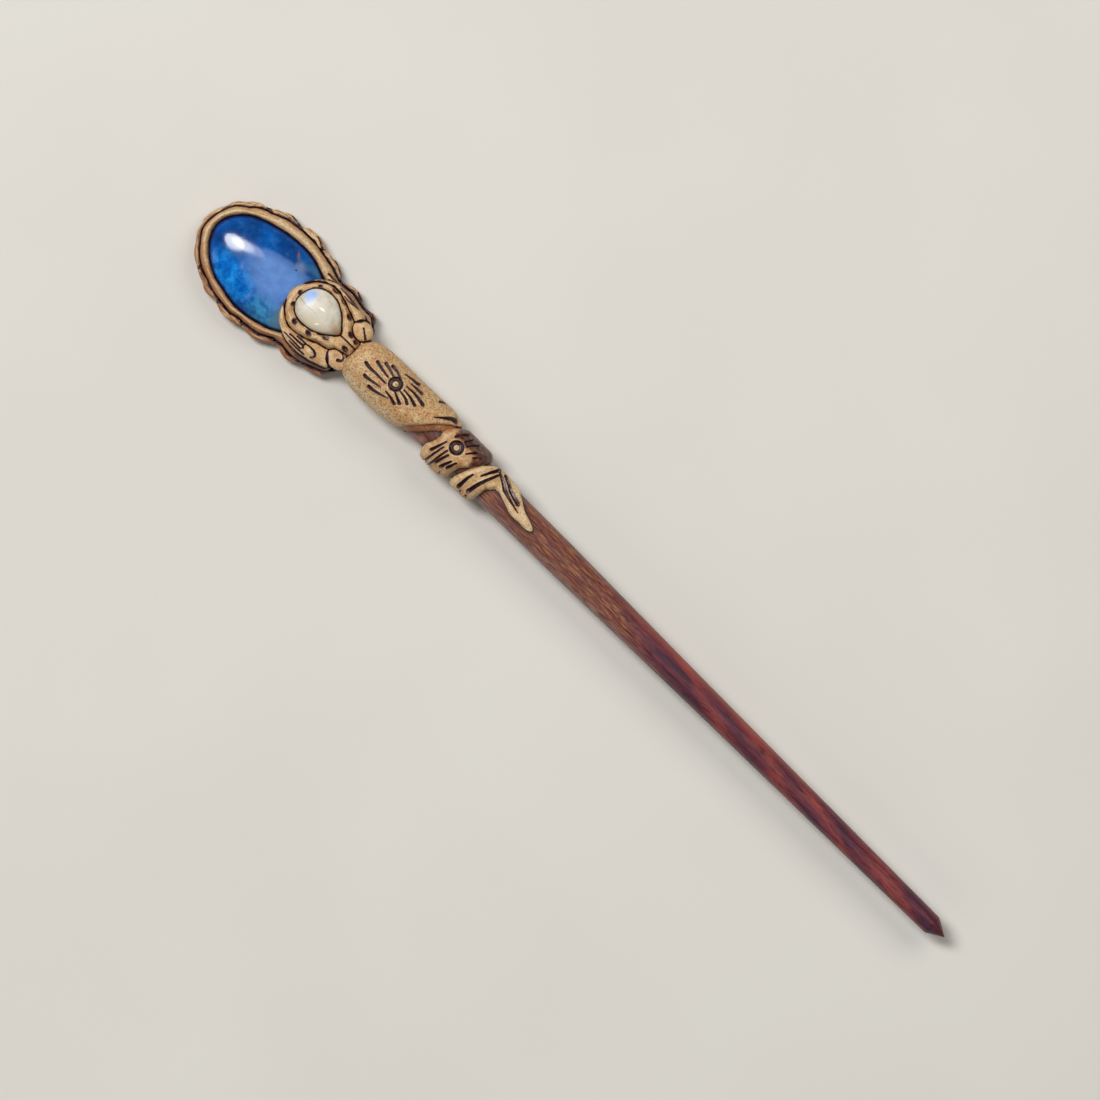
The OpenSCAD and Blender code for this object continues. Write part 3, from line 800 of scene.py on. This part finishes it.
LOWER_CURL = read_tracks("""
-65.2 -4.85  -64.2 -4.7  -63.3 -4.75  -62.75 -5  0.3 0.5
-62.75 -5  -62.45 -5.4  -62.55 -5.8  -62.9 -6.05  0.5 0.4
-65.3 -5.05  -65.4 -5.4  -65.15 -5.8  0.4 0.5
""")
LOWER_STROKES = read_tracks("""
-67.3 -4.92  -66.3 -4.9  -65.2 -4.88  0.44 0.34
-68.6 -5.6  -67 -5.55  -65.7 -5.5  0.32 0.4
-69.6 -6.1  -67.6 -6.15  -65.4 -6.2  0.24 0.34
-67.8 -6.6  -66 -6.64  -64.2 -6.52  0.26 0.34
""")
WING_PULLS = [(-60.6, -5.9, 2.0, (1.0, 0.15, -0.2)), (-60.6, -4.4, 1.4, (0.3, -0.3, 0))]
wing_lower = Lump("wing_lower", 0.09)
wing_lower.grab(*WING_PULLS)
# Its outer wall is drawn in at the foot and swells above it, as on a strip that was laid down.
wall = rise(-wing_lower.normals[:, 1], 0.2, 0.5)
lean = np.interp(wing_lower.points[:, 2], (5.6, 6.4), (0.35, -0.2))
wing_lower.move(np.outer(wall * lean, (0, 1, 0)))
wing_lower.wave((0.05, 3, 14))
poke_dots(wing_lower, [(-63.7, -5.45, 0.95, 0.75, 0)], depth=-0.24, wet=0)
drag_needle(wing_lower, LOWER_CURL, depth=0.24, wet=0.85)
drag_needle(wing_lower, LOWER_STROKES, depth=0.3)
drag_needle(wing_lower, WING_LINE, depth=0.05, bank=0)
strands(wing_lower, "collar", 0.5, 32)
# A little painted shade: the whole lower wing is made more orange-brown.
wing_lower.rust += 0.05


def restretched(lump, centre, radii, top=6.6, kept=0.4):
    """Stretches a round lump to a centre and radii in the plan view, and keeps a share of it over a top."""
    low, high = lump.points.min(axis=0), lump.points.max(axis=0)
    flat = (lump.points[:, :2] - (low + high)[:2] / 2) * (2 * np.array(radii) / (high - low)[:2]) + centre
    z = lump.points[:, 2]
    lump.move(np.column_stack([flat, np.where(z > top, top + (z - top) * kept, z)]) - lump.points)


scroll_upper = Lump("scroll_upper", 0.1)
restretched(scroll_upper, (-59.45, 4.1), (2.1, 1.8))
scroll_upper.grab((-60.4, 5.0, 1.6, (0.1, 0, 0)))
UPPER_SLIT = read_tracks("""
-59.65 4.62  -59.45 4.5  0.42 0.36
-59.4 4.5  -59 4.1  -58.6 3.85  -57.9 3.3  0.3 0.5
""")
drag_needle(scroll_upper, UPPER_SLIT, depth=0.3, wet=0.75)
scroll_lower = Lump("scroll_lower", 0.1)
restretched(scroll_lower, (-59.2, -2.95), (2.2, 1.65))
LOWER_SPIRAL = read_tracks("""
-60.9 -1.75  -60.1 -1.5  -59.1 -1.45  -58.5 -1.75  -58.3 -2.25  0.26 0.42
-58.3 -2.25  -58.45 -2.65  -58.95 -2.9  0.42 0.66
""")
drag_needle(scroll_lower, LOWER_SPIRAL, depth=0.36, wet=0.85)
poke_dots(scroll_lower, [(-59.7, -2.75, 0.95, 0.7, 20)], depth=0.08, wet=0.24)
print("collar:", len(collar.points), "points, wings and scrolls are finer")

# %% [markdown]
# ## Where the stain stays
# Stain stays where a rag can't reach: beside a neighbour, and in every hollow. Nearness is measured to the
# pieces around a piece. Hollowness is how far a point lies below the average of its neighbours, the same
# measure that a pointiness map uses. Standing edges are rubbed paler. Beside a neighbour the soft clay was
# pushed up, so it's raised a little there. An orange-brown painted shade is laid beside each neighbour, in
# broad hollows, round each groove and dot, and on steep sides and sides that face -Y.

# %% Where the stain stays
REACH = 1.0
FILL = 0.06
FINE_ROUNDS = 6
BROAD_ROUNDS = 40


def hollowness(lump, rounds):
    """Height of the smoothed surface over each point, in millimetres."""
    count = len(lump.points)
    ends = np.zeros(len(lump.mesh.edges) * 2, int)
    lump.mesh.edges.foreach_get("vertices", ends)
    a, b = ends.reshape(-1, 2).T
    share = np.bincount(a, minlength=count) + np.bincount(b, minlength=count)
    soft = lump.points
    for _ in range(rounds):
        sums = [np.bincount(a, soft[b, k], count) + np.bincount(b, soft[a, k], count) for k in range(3)]
        soft = np.stack(sums, axis=1) / share[:, None]
    return ((soft - lump.points) * lump.normals).sum(axis=1)


clay = (ruffle, bezel, back_plate, collar, wing_upper, wing_lower, scroll_upper, scroll_lower, tendril, grip)
for lump in clay:
    polygons = [face.vertices[:] for face in lump.mesh.polygons]
    trees[lump.node] = BVHTree.FromPolygons(lump.points.tolist(), polygons)
    boxes[lump.node] = np.array((lump.points.min(axis=0), lump.points.max(axis=0)))
bm = merged_copy("blue_stone")
stray(bm)
trees["blue_stone"] = BVHTree.FromBMesh(bm)
bm.free()


def nearness(lump):
    """1 where a neighbour touches, 0 from REACH away."""
    closest = np.full(len(lump.points), REACH)
    for name, (low, high) in boxes.items():
        if name != lump.node:
            close = np.all((lump.points > low - REACH) & (lump.points < high + REACH), axis=1)
            closest[close] = np.minimum(closest[close], distance_to(lump.points[close], name, REACH))
    return 1 - closest / REACH


def ease(values, low, high):
    """0 below low, 1 above high and smooth between."""
    t = rise(values, low, high - low)
    return t * t * (3 - 2 * t)


# The clay was rubbed clean where the grip meets the neck, on its slanted cut and on the band's left flank.
for lump in (collar, scroll_upper, scroll_lower, grip):
    x, y, z = lump.points.T
    across = np.interp(y, (-5.2, -4.6, -2.0, -1.2, 2.5, 3.2), (0, 0.85, 0.85, 0.6, 0.5, 0))
    lump.rubbed = across * ease(x, -59.0, -58.4) * (x < -50)
grip.rubbed = np.maximum(grip.rubbed, 0.75 * ease(past_cut(), -0.3, 0.6))
tendril.rubbed = 0.6 * ease(-tendril.points[:, 0], 34.0, 35.0)


def settle(mesh, node, material):
    """Makes a piece of a mesh in metres: it rides on the body and stands for its solid."""
    mesh.name = node + "_visual"
    mesh.materials.clear()
    mesh.materials.append(material)
    piece = bpy.data.objects.new(node + "_visual", mesh)
    bpy.context.scene.collection.objects.link(piece)
    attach(piece, "root")
    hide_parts(node)
    print(piece.name, sum(len(polygon.vertices) - 2 for polygon in mesh.polygons), "triangles")


def paint_field(mesh, name, values):
    """Stores a value for each point, which an Attribute node of the material reads."""
    mesh.attributes.new(name, "FLOAT", "POINT").data.foreach_set("value", values)


def finish_clay(lump, material, seam, flanks):
    """Stains a lump, brings it to metres and sets it in place of its solid, which it hides.

    seam is the nearness from which stain shows: the higher, the finer the dark line beside a neighbour.
    flanks says how much orange-brown painted shade its steep sides and its sides that face -Y take on.
    """
    near = nearness(lump)
    lump.press(-FILL * ease(near, 0.35, 0.85) * lump.faces_up(-0.2, 0.3))
    fine = hollowness(lump, FINE_ROUNDS)
    broad = hollowness(lump, BROAD_ROUNDS)
    uneven = 0.1 * ripple(lump.points, 2.2, 20) + 0.05 * ripple(lump.points, 1.1, 21)
    # The seams are paler at the round end of the head.
    full = np.interp(lump.points[:, 0], (-92, -80), (0.6, 0.95)) * (1 - lump.rubbed)
    lump.soak(full * ease(near + uneven, seam, seam + 0.25))
    lump.soak(ease(fine, 0.012, 0.05) * 0.8 * (1 - lump.rubbed))
    steep = 1 - np.clip(lump.normals[:, 2], 0, 1)
    below = np.clip(-lump.normals[:, 1], 0, 1)
    patchy = np.clip(0.6 + 0.4 * ripple(lump.points, 1.8, 29), 0, 1)
    # Painted shade, orange-brown: beside a neighbour, in broad hollows, round grooves and dots, on steep
    # sides and on sides that face -Y.
    lump.rust = lump.rust + 0.6 * ease(near, 0.25, 0.8) * patchy + 0.3 * ease(broad, 0.03, 0.2)
    lump.rust = lump.rust + 0.55 * lump.halo * patchy
    lump.rust = np.clip(lump.rust + flanks * (0.3 * steep + 0.25 * below), 0, 1)
    lump.worn = np.maximum(lump.worn, 0.55 * ease(-fine, 0.004, 0.02) * (1 - lump.rust))
    low, high = np.array(cad_box) / MM
    lump.points = np.clip(lump.points, low, high) * MM
    lump.mesh.vertices.foreach_set("co", lump.points.ravel())
    for name in ("stain", "rust", "worn"):
        paint_field(lump.mesh, name, getattr(lump, name))
    lump.mesh.polygons.foreach_set("use_smooth", np.ones(len(lump.mesh.polygons), bool))
    lump.mesh.update()
    settle(lump.mesh, lump.node, material)


for lump in clay:
    if lump in (ruffle, bezel, back_plate):
        finish_clay(lump, smooth_clay, seam=0.41, flanks=1.0)
    else:
        finish_clay(lump, grip_clay if lump is grip else smooth_clay, seam=0.52, flanks=0.25)

# %% [markdown]
# ## The blue cabochon
# A cabochon is ground to an oval dome over a short straight side and polished until it mirrors a lamp. Half
# a sphere, stretched, with its rim extruded down, is just that. This one is a dyed or natural blue quartz:
# deep royal blue with a milky zone, azure below, a teal corner and a rusty inclusion. The milky zone is
# partly the stone's own cloud and partly a painted reflection, and the stone's foot is darkened with
# painted shade where it sinks into the bezel. Hardly any light goes through it, so its colours lie under the
# polish. Noise that moves each place a little blurs them into each other, except along the milky zone's
# sharp upper edge.

# %% The blue cabochon
GIRDLE_SHARE = 0.26
BLUE_TONES = [(0.3, "#002a64"), (0.45, "#003c7e"), (0.6, "#004c9a"), (0.72, "#0660b0")]
AZURE_TONES = [(0.36, "#00509e"), (0.46, "#0064ba"), (0.56, "#007ad0"), (0.68, "#1a94e2")]
TEAL_TONES = [(0.38, "#1a5f98"), (0.6, "#3d8fbc")]
STREAK_GREY = "#6f80bd"


def dome(segments, rows):
    """Half a unit sphere over a straight side down to z = -1, closed by a slightly smaller base."""
    bm = bmesh.new()
    bmesh.ops.create_uvsphere(bm, u_segments=segments, v_segments=rows, radius=1)
    everything = bm.verts[:] + bm.edges[:] + bm.faces[:]
    bmesh.ops.bisect_plane(bm, geom=everything, plane_co=(0, 0, 0), plane_no=(0, 0, -1), clear_outer=True)
    for depth, width in ((-0.75, 1.0), (-1.0, 0.965)):
        rim = [edge for edge in bm.edges if edge.is_boundary]
        low = bmesh.ops.extrude_edge_only(bm, edges=rim)["geom"]
        for vert in (part for part in low if isinstance(part, bmesh.types.BMVert)):
            length = math.hypot(vert.co.x, vert.co.y)
            vert.co = (vert.co.x / length * width, vert.co.y / length * width, depth)
    bmesh.ops.edgeloop_fill(bm, edges=[edge for edge in bm.edges if edge.is_boundary])
    bmesh.ops.recalc_face_normals(bm, faces=bm.faces)
    return bm


low, high = boxes["blue_stone"]
middle, half = (low + high) / 2, (high - low) / 2
girdle = low[2] + GIRDLE_SHARE * (high[2] - low[2])
bm = dome(128, 64)
for vert in bm.verts:
    x, y, z = vert.co
    side = girdle - low[2] if z < 0 else high[2] - girdle
    vert.co = (middle[0] + x * half[0], middle[1] + y * half[1], girdle + z * side)
stray(bm)
blue_mesh = new_mesh(bm, "blue_stone", MM)

blue_quartz, tree, shader, place = new_material("polished_blue_quartz", 0.13, 1.54)
cloud = add(tree, "TexNoise", {"Vector": place, "Scale": 1 / (4.5 * MM), "Detail": 5.0, "Roughness": 0.55})
wisp = add(tree, "TexNoise", {"Vector": place, "Scale": 1 / (1.6 * MM), "Detail": 6.0, "Roughness": 0.65})
warp = add(tree, "VectorMath", {0: cloud.outputs["Color"], 1: (0.5, 0.5, 0.5)}, operation="SUBTRACT")
drift = add(tree, "VectorMath", {0: warp, 3: 3.2 * MM}, operation="SCALE")
moved = add(tree, "VectorMath", {0: place, 1: drift}, operation="ADD")
azure = add(tree, "ValToRGB", {0: wisp}, AZURE_TONES)
teal = add(tree, "ValToRGB", {0: wisp}, TEAL_TONES)
grey = add(tree, "MapRange", {0: wisp, 1: 0.42, 2: 0.6, 4: 0.45})
cloudy = add(tree, "MapRange", {0: wisp, 1: 0.35, 2: 0.62, 3: 0.62, 4: 0.88})
haze = add(tree, "MapRange", {0: wisp, 1: 0.5, 2: 0.74, 4: 0.32})
# Painted reflection: the milky zone is partly the stone's own cloud and partly a broad light's reflection.
milky_zone_and_reflection = spot(tree, moved, (-77.2, 0.0), (8.2, 5.6), 0.35, 1.15)
height = add(tree, "SeparateXYZ", {0: place}).outputs[2]
blue = paint(
    tree,
    add(tree, "ValToRGB", {0: cloud}, BLUE_TONES),
    (azure, spot(tree, moved, (-84.5, -5.8), (9.0, 4.4), 0.35, 1.05)),
    (teal, spot(tree, moved, (-72.5, -6.4), (7.2, 3.6), 0.35, 1.15)),
    ("#587c92", spot(tree, moved, (-71.4, -4.6), (2.8, 2.6))),
    ("#32668e", spot(tree, moved, (-73.4, 5.6), (3.0, 1.5))),
    (STREAK_GREY, spot(tree, moved, (-88.6, -5.2), (2.6, 0.7), turned=-38), grey),
    (STREAK_GREY, spot(tree, moved, (-83.5, -3.4), (0.5, 2.2), turned=12), grey),
    (STREAK_GREY, spot(tree, moved, (-79.6, -6.1), (0.5, 1.9), turned=-8), grey),
    ("#6a93d2", spot(tree, place, (-75.0, -3.2), (12.2, 7.6), 0.93, 1.03), milky_zone_and_reflection, cloudy),
    ("#3f78b8", haze),
    ("#7d5a52", spot(tree, moved, (-77.7, 5.9), (1.15, 0.45), 0.0, 1.2, -40)),
    ("#64799c", spot(tree, moved, (-75.9, 4.5), (1.5, 1.0), 0.0, 1.3, -30)),
    ("#1c2c52", spot(tree, place, (-76.05, 3.5), (0.28, 0.22), 0.4, 1.0)),
    # Painted shade: the stone darkens towards its girdle, where it sinks into the bezel.
    ("#221a30", add(tree, "MapRange", {0: height, 1: 4.65 * MM, 2: 4.2 * MM, 4: 0.8}, **SMOOTH)),
)
tree.links.new(blue, shader.inputs["Base Color"])
settle(blue_mesh, "blue_stone", blue_quartz)

# %% [markdown]
# ## The moonstone
# A pear shaped cabochon of milky feldspar with a hairline crack and a few warm veins. A blue flash at its
# round end is a painted sheen, and two white spots are painted glints. Its dome is the same half sphere.
# Rays from its middle find the outline of its solid, and each point of the dome is drawn out to that
# outline.

# %% The moonstone
MOON_GIRDLE = 0.22
MOON_TONES = [(0.3, "#beb39d"), (0.5, "#d0cabc"), (0.7, "#dedad0")]

low, high = boxes["moonstone"]
hub = (low[0] + 0.45 * (high[0] - low[0]), (low[1] + high[1]) / 2)
girdle = low[2] + MOON_GIRDLE * (high[2] - low[2])
start = Vector((*hub, girdle - 0.05))
turns = np.radians(np.arange(0, 360, 2.0))
rays = [Vector((math.cos(angle), math.sin(angle), 0)) for angle in turns]
reach = np.array([trees["moonstone"].ray_cast(start, ray)[3] for ray in rays])
for _ in range(3):
    reach = (np.roll(reach, 1) + 2 * reach + np.roll(reach, -1)) / 4
bm = dome(180, 64)
for vert in bm.verts:
    angle = math.atan2(vert.co.y, vert.co.x) % (2 * math.pi)
    out = np.interp(angle, turns, reach, period=2 * math.pi) * math.hypot(vert.co.x, vert.co.y)
    side = girdle - low[2] if vert.co.z < 0 else high[2] - girdle
    vert.co = (hub[0] + out * math.cos(angle), hub[1] + out * math.sin(angle), girdle + vert.co.z * side)
moon_mesh = new_mesh(bm, "moonstone", MM)

moon_stone, tree, shader, place = new_material("polished_moonstone", 0.4, 1.52)
cloud = add(tree, "TexNoise", {"Vector": place, "Scale": 1 / (2.4 * MM), "Detail": 4.0, "Roughness": 0.6})
body = spot(tree, place, (-67.9, 1.15), (4.3, 3.7), 0.75, 1.15)
rim = add(tree, "Math", {0: 0.55, 1: body}, operation="SUBTRACT", use_clamp=True)
# The crack is where Y and a wandering offset come to zero, up to a place along X.
crack = add(tree, "TexNoise", {"Vector": place, "Scale": 1 / (1.4 * MM), "Detail": 2.0})
wander = add(tree, "MapRange", {0: crack, 3: -0.8 * MM, 4: 0.2 * MM})
along, across = add(tree, "SeparateXYZ", {0: place}).outputs[:2]
line = add(tree, "Math", {0: across, 1: wander}, operation="ADD")
line = add(tree, "Math", {0: line}, operation="ABSOLUTE")
hair = add(tree, "MapRange", {0: line, 1: 0.03 * MM, 2: 0.09 * MM, 3: 0.55, 4: 0.0})
length = add(tree, "MapRange", {0: along, 1: -68.6 * MM, 2: -67.2 * MM, 3: 1.0, 4: 0.0})
milk = paint(
    tree,
    add(tree, "ValToRGB", {0: cloud}, MOON_TONES),
    # Painted sheen: the blue flash at the round end.
    ("#7ea8ea", spot(tree, place, (-70.75, 2.35), (1.5, 1.0), 0.0, 1.3, 50)),
    ("#a3bde8", spot(tree, place, (-70.6, 1.7), (1.6, 1.0), 0.0, 1.3, -50)),
    ("#a8977a", rim),
    ("#d9cbb0", spot(tree, place, (-66.5, -1.2), (3.6, 1.5), turned=18)),
    ("#b08a60", spot(tree, place, (-62.3, 0.7), (2.2, 0.95), 0.0, 1.25)),
    # Painted highlights: two white glints.
    ("#ffffff", spot(tree, place, (-67.4, 1.75), (0.8, 0.32), 0.1, 1.1, 10)),
    ("#fbf8f2", spot(tree, place, (-66.3, -0.9), (0.65, 0.26), 0.1, 1.1, 40)),
    ("#7d6a55", hair, length),
)
tree.links.new(milk, shader.inputs["Base Color"])
settle(moon_mesh, "moonstone", moon_stone)

# %% [markdown]
# ## The wooden stick
# Turned or whittled from a dense red hardwood, sanded and oiled. A lathe is bmesh spin: a profile of the
# stick's radius is turned once round its axis. The wood's grain runs along the stick, so its noise is
# stretched along X. Fine pores are short dark dashes, and golden flecks catch the light in the upper
# stretch. In the lower one, purple streaks and red flames follow the growth rings, which cross it on a long
# slant. In the upper stretch, pale streaks on the side that faces -Y are a painted sheen. Beside the grip
# and the tendril, the wood is darkened by a painted shadow, kept in its stain attribute.

# %% The wooden stick
POINT_LENGTH = 3.1
TIP_RADIUS = 0.2
POLE_RADIUS = 0.01
STEP = 0.5
SHADOW_REACH = 1.3
RING_SLANT = 3.0
BROWN_TONES = [(0.3, "#4a2626"), (0.5, "#683834"), (0.7, "#804a40")]
RED_TONES = [(0.3, "#48202b"), (0.5, "#6c2f36"), (0.7, "#833d40")]
# Length and width in millimetres, detail, the noise where each kind starts and is full, and its strength.
STREAKS = (
    (2.6, 0.19, 2.0, 0.49, 0.62, 0.8),
    (12, 0.9, 5.0, 0.36, 0.6, 0.85),
    (10, 0.7, 5.0, 0.36, 0.66, 0.7),
    (2.4, 0.17, 1.0, 0.53, 0.64, 0.75),
    (2.6, 0.16, 2.0, 0.46, 0.62, 0.75),
)
DARK_RINGS = ((15, 29), (37, 45), (54, 61), (67, 73), (86, 93))
FLAME_RINGS = ((31, 35), (47, 53), (62, 66), (78, 85))

low, high = boxes["stick"]
axis_z = (low[2] + high[2]) / 2
wood_points = np.array([vert.co[:] for vert in nodes["stick"].data.vertices]) / MM
radii = sorted({(round(x, 3), round(math.hypot(y, z - axis_z), 3)) for x, y, z in wood_points})
radii = list(zip(*(row for row in radii if row[1] > POLE_RADIUS)))
end_x = high[0] - POINT_LENGTH
end_radius = np.interp(end_x, *radii)
profile = [(low[0], POLE_RADIUS)]
profile += [(x, np.interp(x, *radii)) for x in np.arange(low[0], end_x - 0.3, STEP)]
profile += [
    (end_x - 0.08, end_radius),
    (end_x + 0.1, end_radius * 0.955),
    (end_x + 0.5 * POINT_LENGTH, end_radius * 0.51),
    (high[0] - 0.25, TIP_RADIUS),
    (high[0] - 0.06, TIP_RADIUS * 0.6),
    (high[0], POLE_RADIUS),
]
bm = bmesh.new()
line = [bm.verts.new((x * MM, 0, (axis_z + r) * MM)) for x, r in profile]
chain = [bm.edges.new(pair) for pair in zip(line, line[1:])]
axis = {"cent": (0, 0, axis_z * MM), "axis": (1, 0, 0)}
bmesh.ops.spin(bm, geom=line + chain, angle=2 * math.pi, steps=72, use_merge=True, **axis)
bmesh.ops.remove_doubles(bm, verts=bm.verts, dist=2 * POLE_RADIUS * MM)
bmesh.ops.recalc_face_normals(bm, faces=bm.faces)
wood_mesh = new_mesh(bm, "stick")
wood_points = read(wood_mesh, "co") / MM
# Painted shadow: the nearer a point is to the grip or the tendril, the darker the wood there.
contact_shadow = [1 - distance_to(wood_points, name, SHADOW_REACH) / SHADOW_REACH for name in ("grip", "tendril")]
paint_field(wood_mesh, "stain", np.maximum(*contact_shadow))

wood, tree, shader, place = new_material("oiled_red_hardwood", 0.42)
along, across = add(tree, "SeparateXYZ", {0: place}).outputs[:2]


def grain(long, wide, detail=4.0):
    """Noise stretched along the stick: the length and width of its streaks in millimetres."""
    scale = (1 / (long * MM), 1 / (wide * MM), 1 / (wide * MM))
    stretched = add(tree, "Mapping", {"Vector": place, "Scale": scale})
    return add(tree, "TexNoise", {"Vector": stretched, "Scale": 1.0, "Detail": detail, "Roughness": 0.6})


def between(value, low, high, soft):
    """A mask that is 1 where a length lies between two others, in millimetres."""
    start = add(tree, "MapRange", {0: value, 1: (low - soft) * MM, 2: (low + soft) * MM})
    end = add(tree, "MapRange", {0: value, 1: (high + soft) * MM, 2: (high - soft) * MM})
    return add(tree, "Math", {0: start, 1: end}, operation="MULTIPLY")


flecks, dark, flame, pores, painted_sheen = [
    add(tree, "MapRange", {0: grain(long, wide, detail), 1: start, 2: full, 4: strength})
    for long, wide, detail, start, full, strength in STREAKS
]
slant = add(tree, "Math", {0: across, 1: RING_SLANT, 2: along}, operation="MULTIPLY_ADD")
wander = add(tree, "MapRange", {0: grain(9, 2.5, 2.0), 3: -5 * MM, 4: 5 * MM})
ring = add(tree, "Math", {0: slant, 1: wander}, operation="ADD")
low_side = add(tree, "MapRange", {0: across, 1: -0.9 * MM, 2: -2.2 * MM})
high_side = add(tree, "MapRange", {0: across, 1: 0.9 * MM, 2: 2.2 * MM, 4: 0.45})
stain = add(tree, "Attribute", attribute_name="stain").outputs["Fac"]
colour = paint(
    tree,
    add(tree, "ValToRGB", {0: grain(18, 1.1)}, BROWN_TONES),
    (add(tree, "ValToRGB", {0: grain(14, 1.2)}, RED_TONES), between(along, 12, 120, 8)),
    ("#a96f44", flecks, between(along, -60, 16, 5)),
    *[("#3b2239", dark, between(ring, low, high, 2.2)) for low, high in DARK_RINGS],
    *[("#96423a", flame, between(ring, low, high, 1.5)) for low, high in FLAME_RINGS],
    ("#2d1618", pores),
    # Painted sheen: pale streaks on the side that faces -Y stand in for a reflection.
    ("#9d7a70", painted_sheen, low_side, between(along, -60, 22, 6)),
    ("#9a4632", high_side, between(along, 10, 60, 6)),
    # Painted shadow beside the clay.
    ("#2a1820", add(tree, "MapRange", {0: stain, 1: 0.15, 2: 0.95, 4: 0.75})),
)
tree.links.new(colour, shader.inputs["Base Color"])
fibre = add(tree, "Bump", {"Height": grain(5, 0.22, 3.0), "Strength": 0.35, "Distance": 0.08 * MM})
tree.links.new(fibre.outputs[0], shader.inputs["Normal"])
settle(wood_mesh, "stick", wood)

# %% [markdown]
# ## Floor and light
# A pale plain floor and two sets of lamps. Three soft ones light the scene: a key on the far side of the
# stick, so that shadows fall towards the near side, a fill from above and a weaker one from the near side.
# They are kept out of reflections. Three far oval ones over the head are the ones that the stones mirror,
# and they draw the long white glare on the cabochon. The world adds a little to the shadows.

# %% Floor and light
bm = bmesh.new()
bmesh.ops.create_grid(bm, x_segments=1, y_segments=1, size=2.0)
floor_mesh = new_mesh(bm, "floor")
floor = bpy.data.objects.new("floor", floor_mesh)
bpy.context.scene.collection.objects.link(floor)
paper, tree, shader, place = new_material("pale_backdrop_paper", 0.9)
tone = add(tree, "TexNoise", {"Vector": place, "Scale": 1 / (60 * MM), "Detail": 2.0})
shade = add(tree, "ValToRGB", {0: tone}, [(0.3, "#cfccc5"), (0.7, "#d1cfc9")])
tree.links.new(shade.outputs[0], shader.inputs["Base Color"])
floor_mesh.materials.append(paper)


def area_light(name, place, target, size, power, colour, mirrored=False, along=(1, 0, 0)):
    """A soft lamp, in metres, whose first size lies along a direction.

    A mirrored one is an oval, and polished stones show the image of no other.
    """
    light = bpy.data.lights.new(name, "AREA")
    light.shape = "ELLIPSE" if mirrored else "RECTANGLE"
    light.size, light.size_y = size
    light.energy = power
    light.color = linear(colour)[:3]
    lamp = bpy.data.objects.new(name, light)
    back = (Vector(place) - Vector(target)).normalized()
    side = (Vector(along) - back * back.dot(Vector(along))).normalized()
    axes = Matrix((side, back.cross(side), back)).transposed()
    lamp.matrix_world = Matrix.Translation(place) @ axes.to_4x4()
    lamp.visible_glossy = mirrored
    bpy.context.scene.collection.objects.link(lamp)


HEAD = Vector((-0.083, -0.001, 0.006))
LAMP_ROW = (0.29, 0.21, 0.1)
LAMP_REACH = 1.8
area_light("key", (0.1, 0.85, 0.85), (0, 0, 0), (0.8, 0.6), 4.9, "#fffaf2")
area_light("fill", (0, 0, 2.0), (0, 0, 0), (1.6, 1.6), 3.2, "#f8faff")
area_light("near_fill", (-0.05, -0.95, 0.6), (0, 0, 0), (1.2, 0.5), 1.6, "#fff6ea")
for name, direction, size, power in (
    ("lamp", (-0.54, -0.03, 0.84), (0.8, 0.64), 20.0),
    ("lamp_beside", (-0.42, 0.075, 0.895), (0.65, 0.44), 6.2),
    ("lamp_beyond", (-0.3, 0.16, 0.935), (0.62, 0.34), 2.0),
):
    area_light(name, HEAD + LAMP_REACH * Vector(direction), HEAD, size, power, "#ffffff", True, LAMP_ROW)
world = bpy.data.worlds.new("studio")
world.use_nodes = True
sky = world.node_tree.nodes["Background"]
sky.inputs["Color"].default_value = linear("#f1eee8")
sky.inputs["Strength"].default_value = 0.1
bpy.context.scene.world = world
